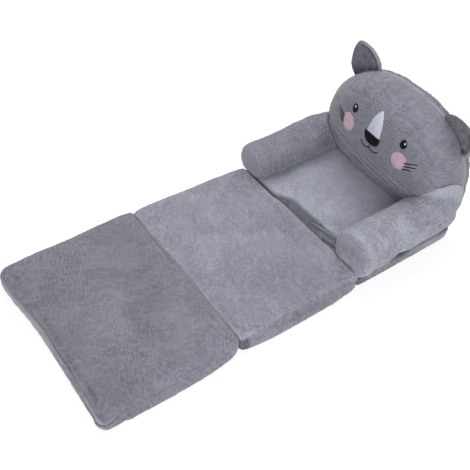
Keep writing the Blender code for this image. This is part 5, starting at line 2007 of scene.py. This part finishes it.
def make_floor(colour):
    """A flat grid just under the object."""
    u, v = square_grid(FLOOR_CELLS, FLOOR_CELLS)
    points = np.stack([u * FLOOR_HALF, v * FLOOR_HALF, np.full(u.shape, -FLOOR_DROP)], -1).reshape(-1, 3)
    floor = new_object("floor", new_mesh("floor", points, grid_quads(np.arange(u.size).reshape(u.shape))))
    paint_floor("floor paint", colour)
    floor.data.materials.append(bpy.data.materials["floor paint"])


def make_world(scene, light):
    """Even white light all round, at full strength where it is seen directly."""
    scene.world = bpy.data.worlds.new("studio")
    scene.world.use_nodes = True
    tree = scene.world.node_tree
    background = tree.nodes["Background"]
    background.inputs["Color"].default_value = (1.0, 1.0, 1.0, 1.0)
    strength = spread(tree, seen_directly(tree), 0.0, 1.0, light, 1.0)
    tree.links.new(strength, background.inputs["Strength"])


def make_lamp(scene, name, place, width, power):
    """A round lamp that points at the middle of the object."""
    lamp = bpy.data.lights.new(name, "AREA")
    lamp.shape = "DISK"
    lamp.size = width
    lamp.energy = power
    obj = bpy.data.objects.new(name, lamp)
    scene.collection.objects.link(obj)
    turn = (-Vector(place)).to_track_quat("-Z", "Y")
    obj.matrix_world = Matrix.Translation(place) @ turn.to_matrix().to_4x4()


def make_camera(scene):
    """The camera at the photograph's place and angle."""
    camera = bpy.data.cameras.new("camera")
    camera.lens, camera.sensor_width = CAMERA_LENS, CAMERA_SENSOR
    camera.clip_start, camera.clip_end = 0.05, 50.0
    scene.camera = bpy.data.objects.new("camera", camera)
    scene.collection.objects.link(scene.camera)
    scene.camera.matrix_world = Matrix.Translation(CAMERA_PLACE) @ Matrix(CAMERA_TURN).to_4x4()


class SOFA_OT_stage(bpy.types.Operator):
    """Make the floor, the lamps, the world and the camera"""

    bl_idname = "sofa.stage"
    bl_label = "Make stage"

    def execute(self, context):
        scene, stage = context.scene, context.scene.sofa_stage
        make_floor(stage.floor_colour[:])
        make_world(scene, stage.world_light)
        for name, (place, width, setting) in LAMPS.items():
            make_lamp(scene, name, place, width, getattr(stage, setting))
        make_camera(scene)
        scene.view_settings.view_transform = "Standard"
        return {"FINISHED"}


OPERATORS = (
    SOFA_OT_panels, SOFA_OT_hinges, SOFA_OT_zips, SOFA_OT_head, SOFA_OT_arms, SOFA_OT_ears, SOFA_OT_patches,
    SOFA_OT_lines, SOFA_OT_stage,
)


class SOFA_PT_pieces(bpy.types.Panel):
    """Lists the sofa's settings and the buttons that make its pieces"""

    bl_idname = "SOFA_PT_pieces"
    bl_label = "Flip open sofa"
    bl_space_type = "VIEW_3D"
    bl_region_type = "UI"
    bl_category = "Sofa"

    def draw(self, context):
        layout, scene = self.layout, context.scene
        for settings in (scene.sofa_sizes, scene.sofa_colours, scene.sofa_stage):
            box = layout.box()
            for name in settings.__annotations__:
                box.prop(settings, name)
        for operator in OPERATORS:
            layout.operator(operator.bl_idname)


CLASSES = (SofaColours, SofaSizes, SofaStage, *OPERATORS, SOFA_PT_pieces)


def register():
    for kind in CLASSES:
        bpy.utils.register_class(kind)
    bpy.types.Scene.sofa_colours = PointerProperty(type=SofaColours)
    bpy.types.Scene.sofa_sizes = PointerProperty(type=SofaSizes)
    bpy.types.Scene.sofa_stage = PointerProperty(type=SofaStage)


def unregister():
    del bpy.types.Scene.sofa_colours, bpy.types.Scene.sofa_sizes, bpy.types.Scene.sofa_stage
    for kind in reversed(CLASSES):
        bpy.utils.unregister_class(kind)


def main():
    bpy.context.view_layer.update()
    register()
    for operator in OPERATORS:
        group, action = operator.bl_idname.split(".")
        result = getattr(getattr(bpy.ops, group), action)()
        if result != {"FINISHED"}:
            raise RuntimeError(f"{operator.bl_label} did not finish")


if __name__ == "__main__":
    main()
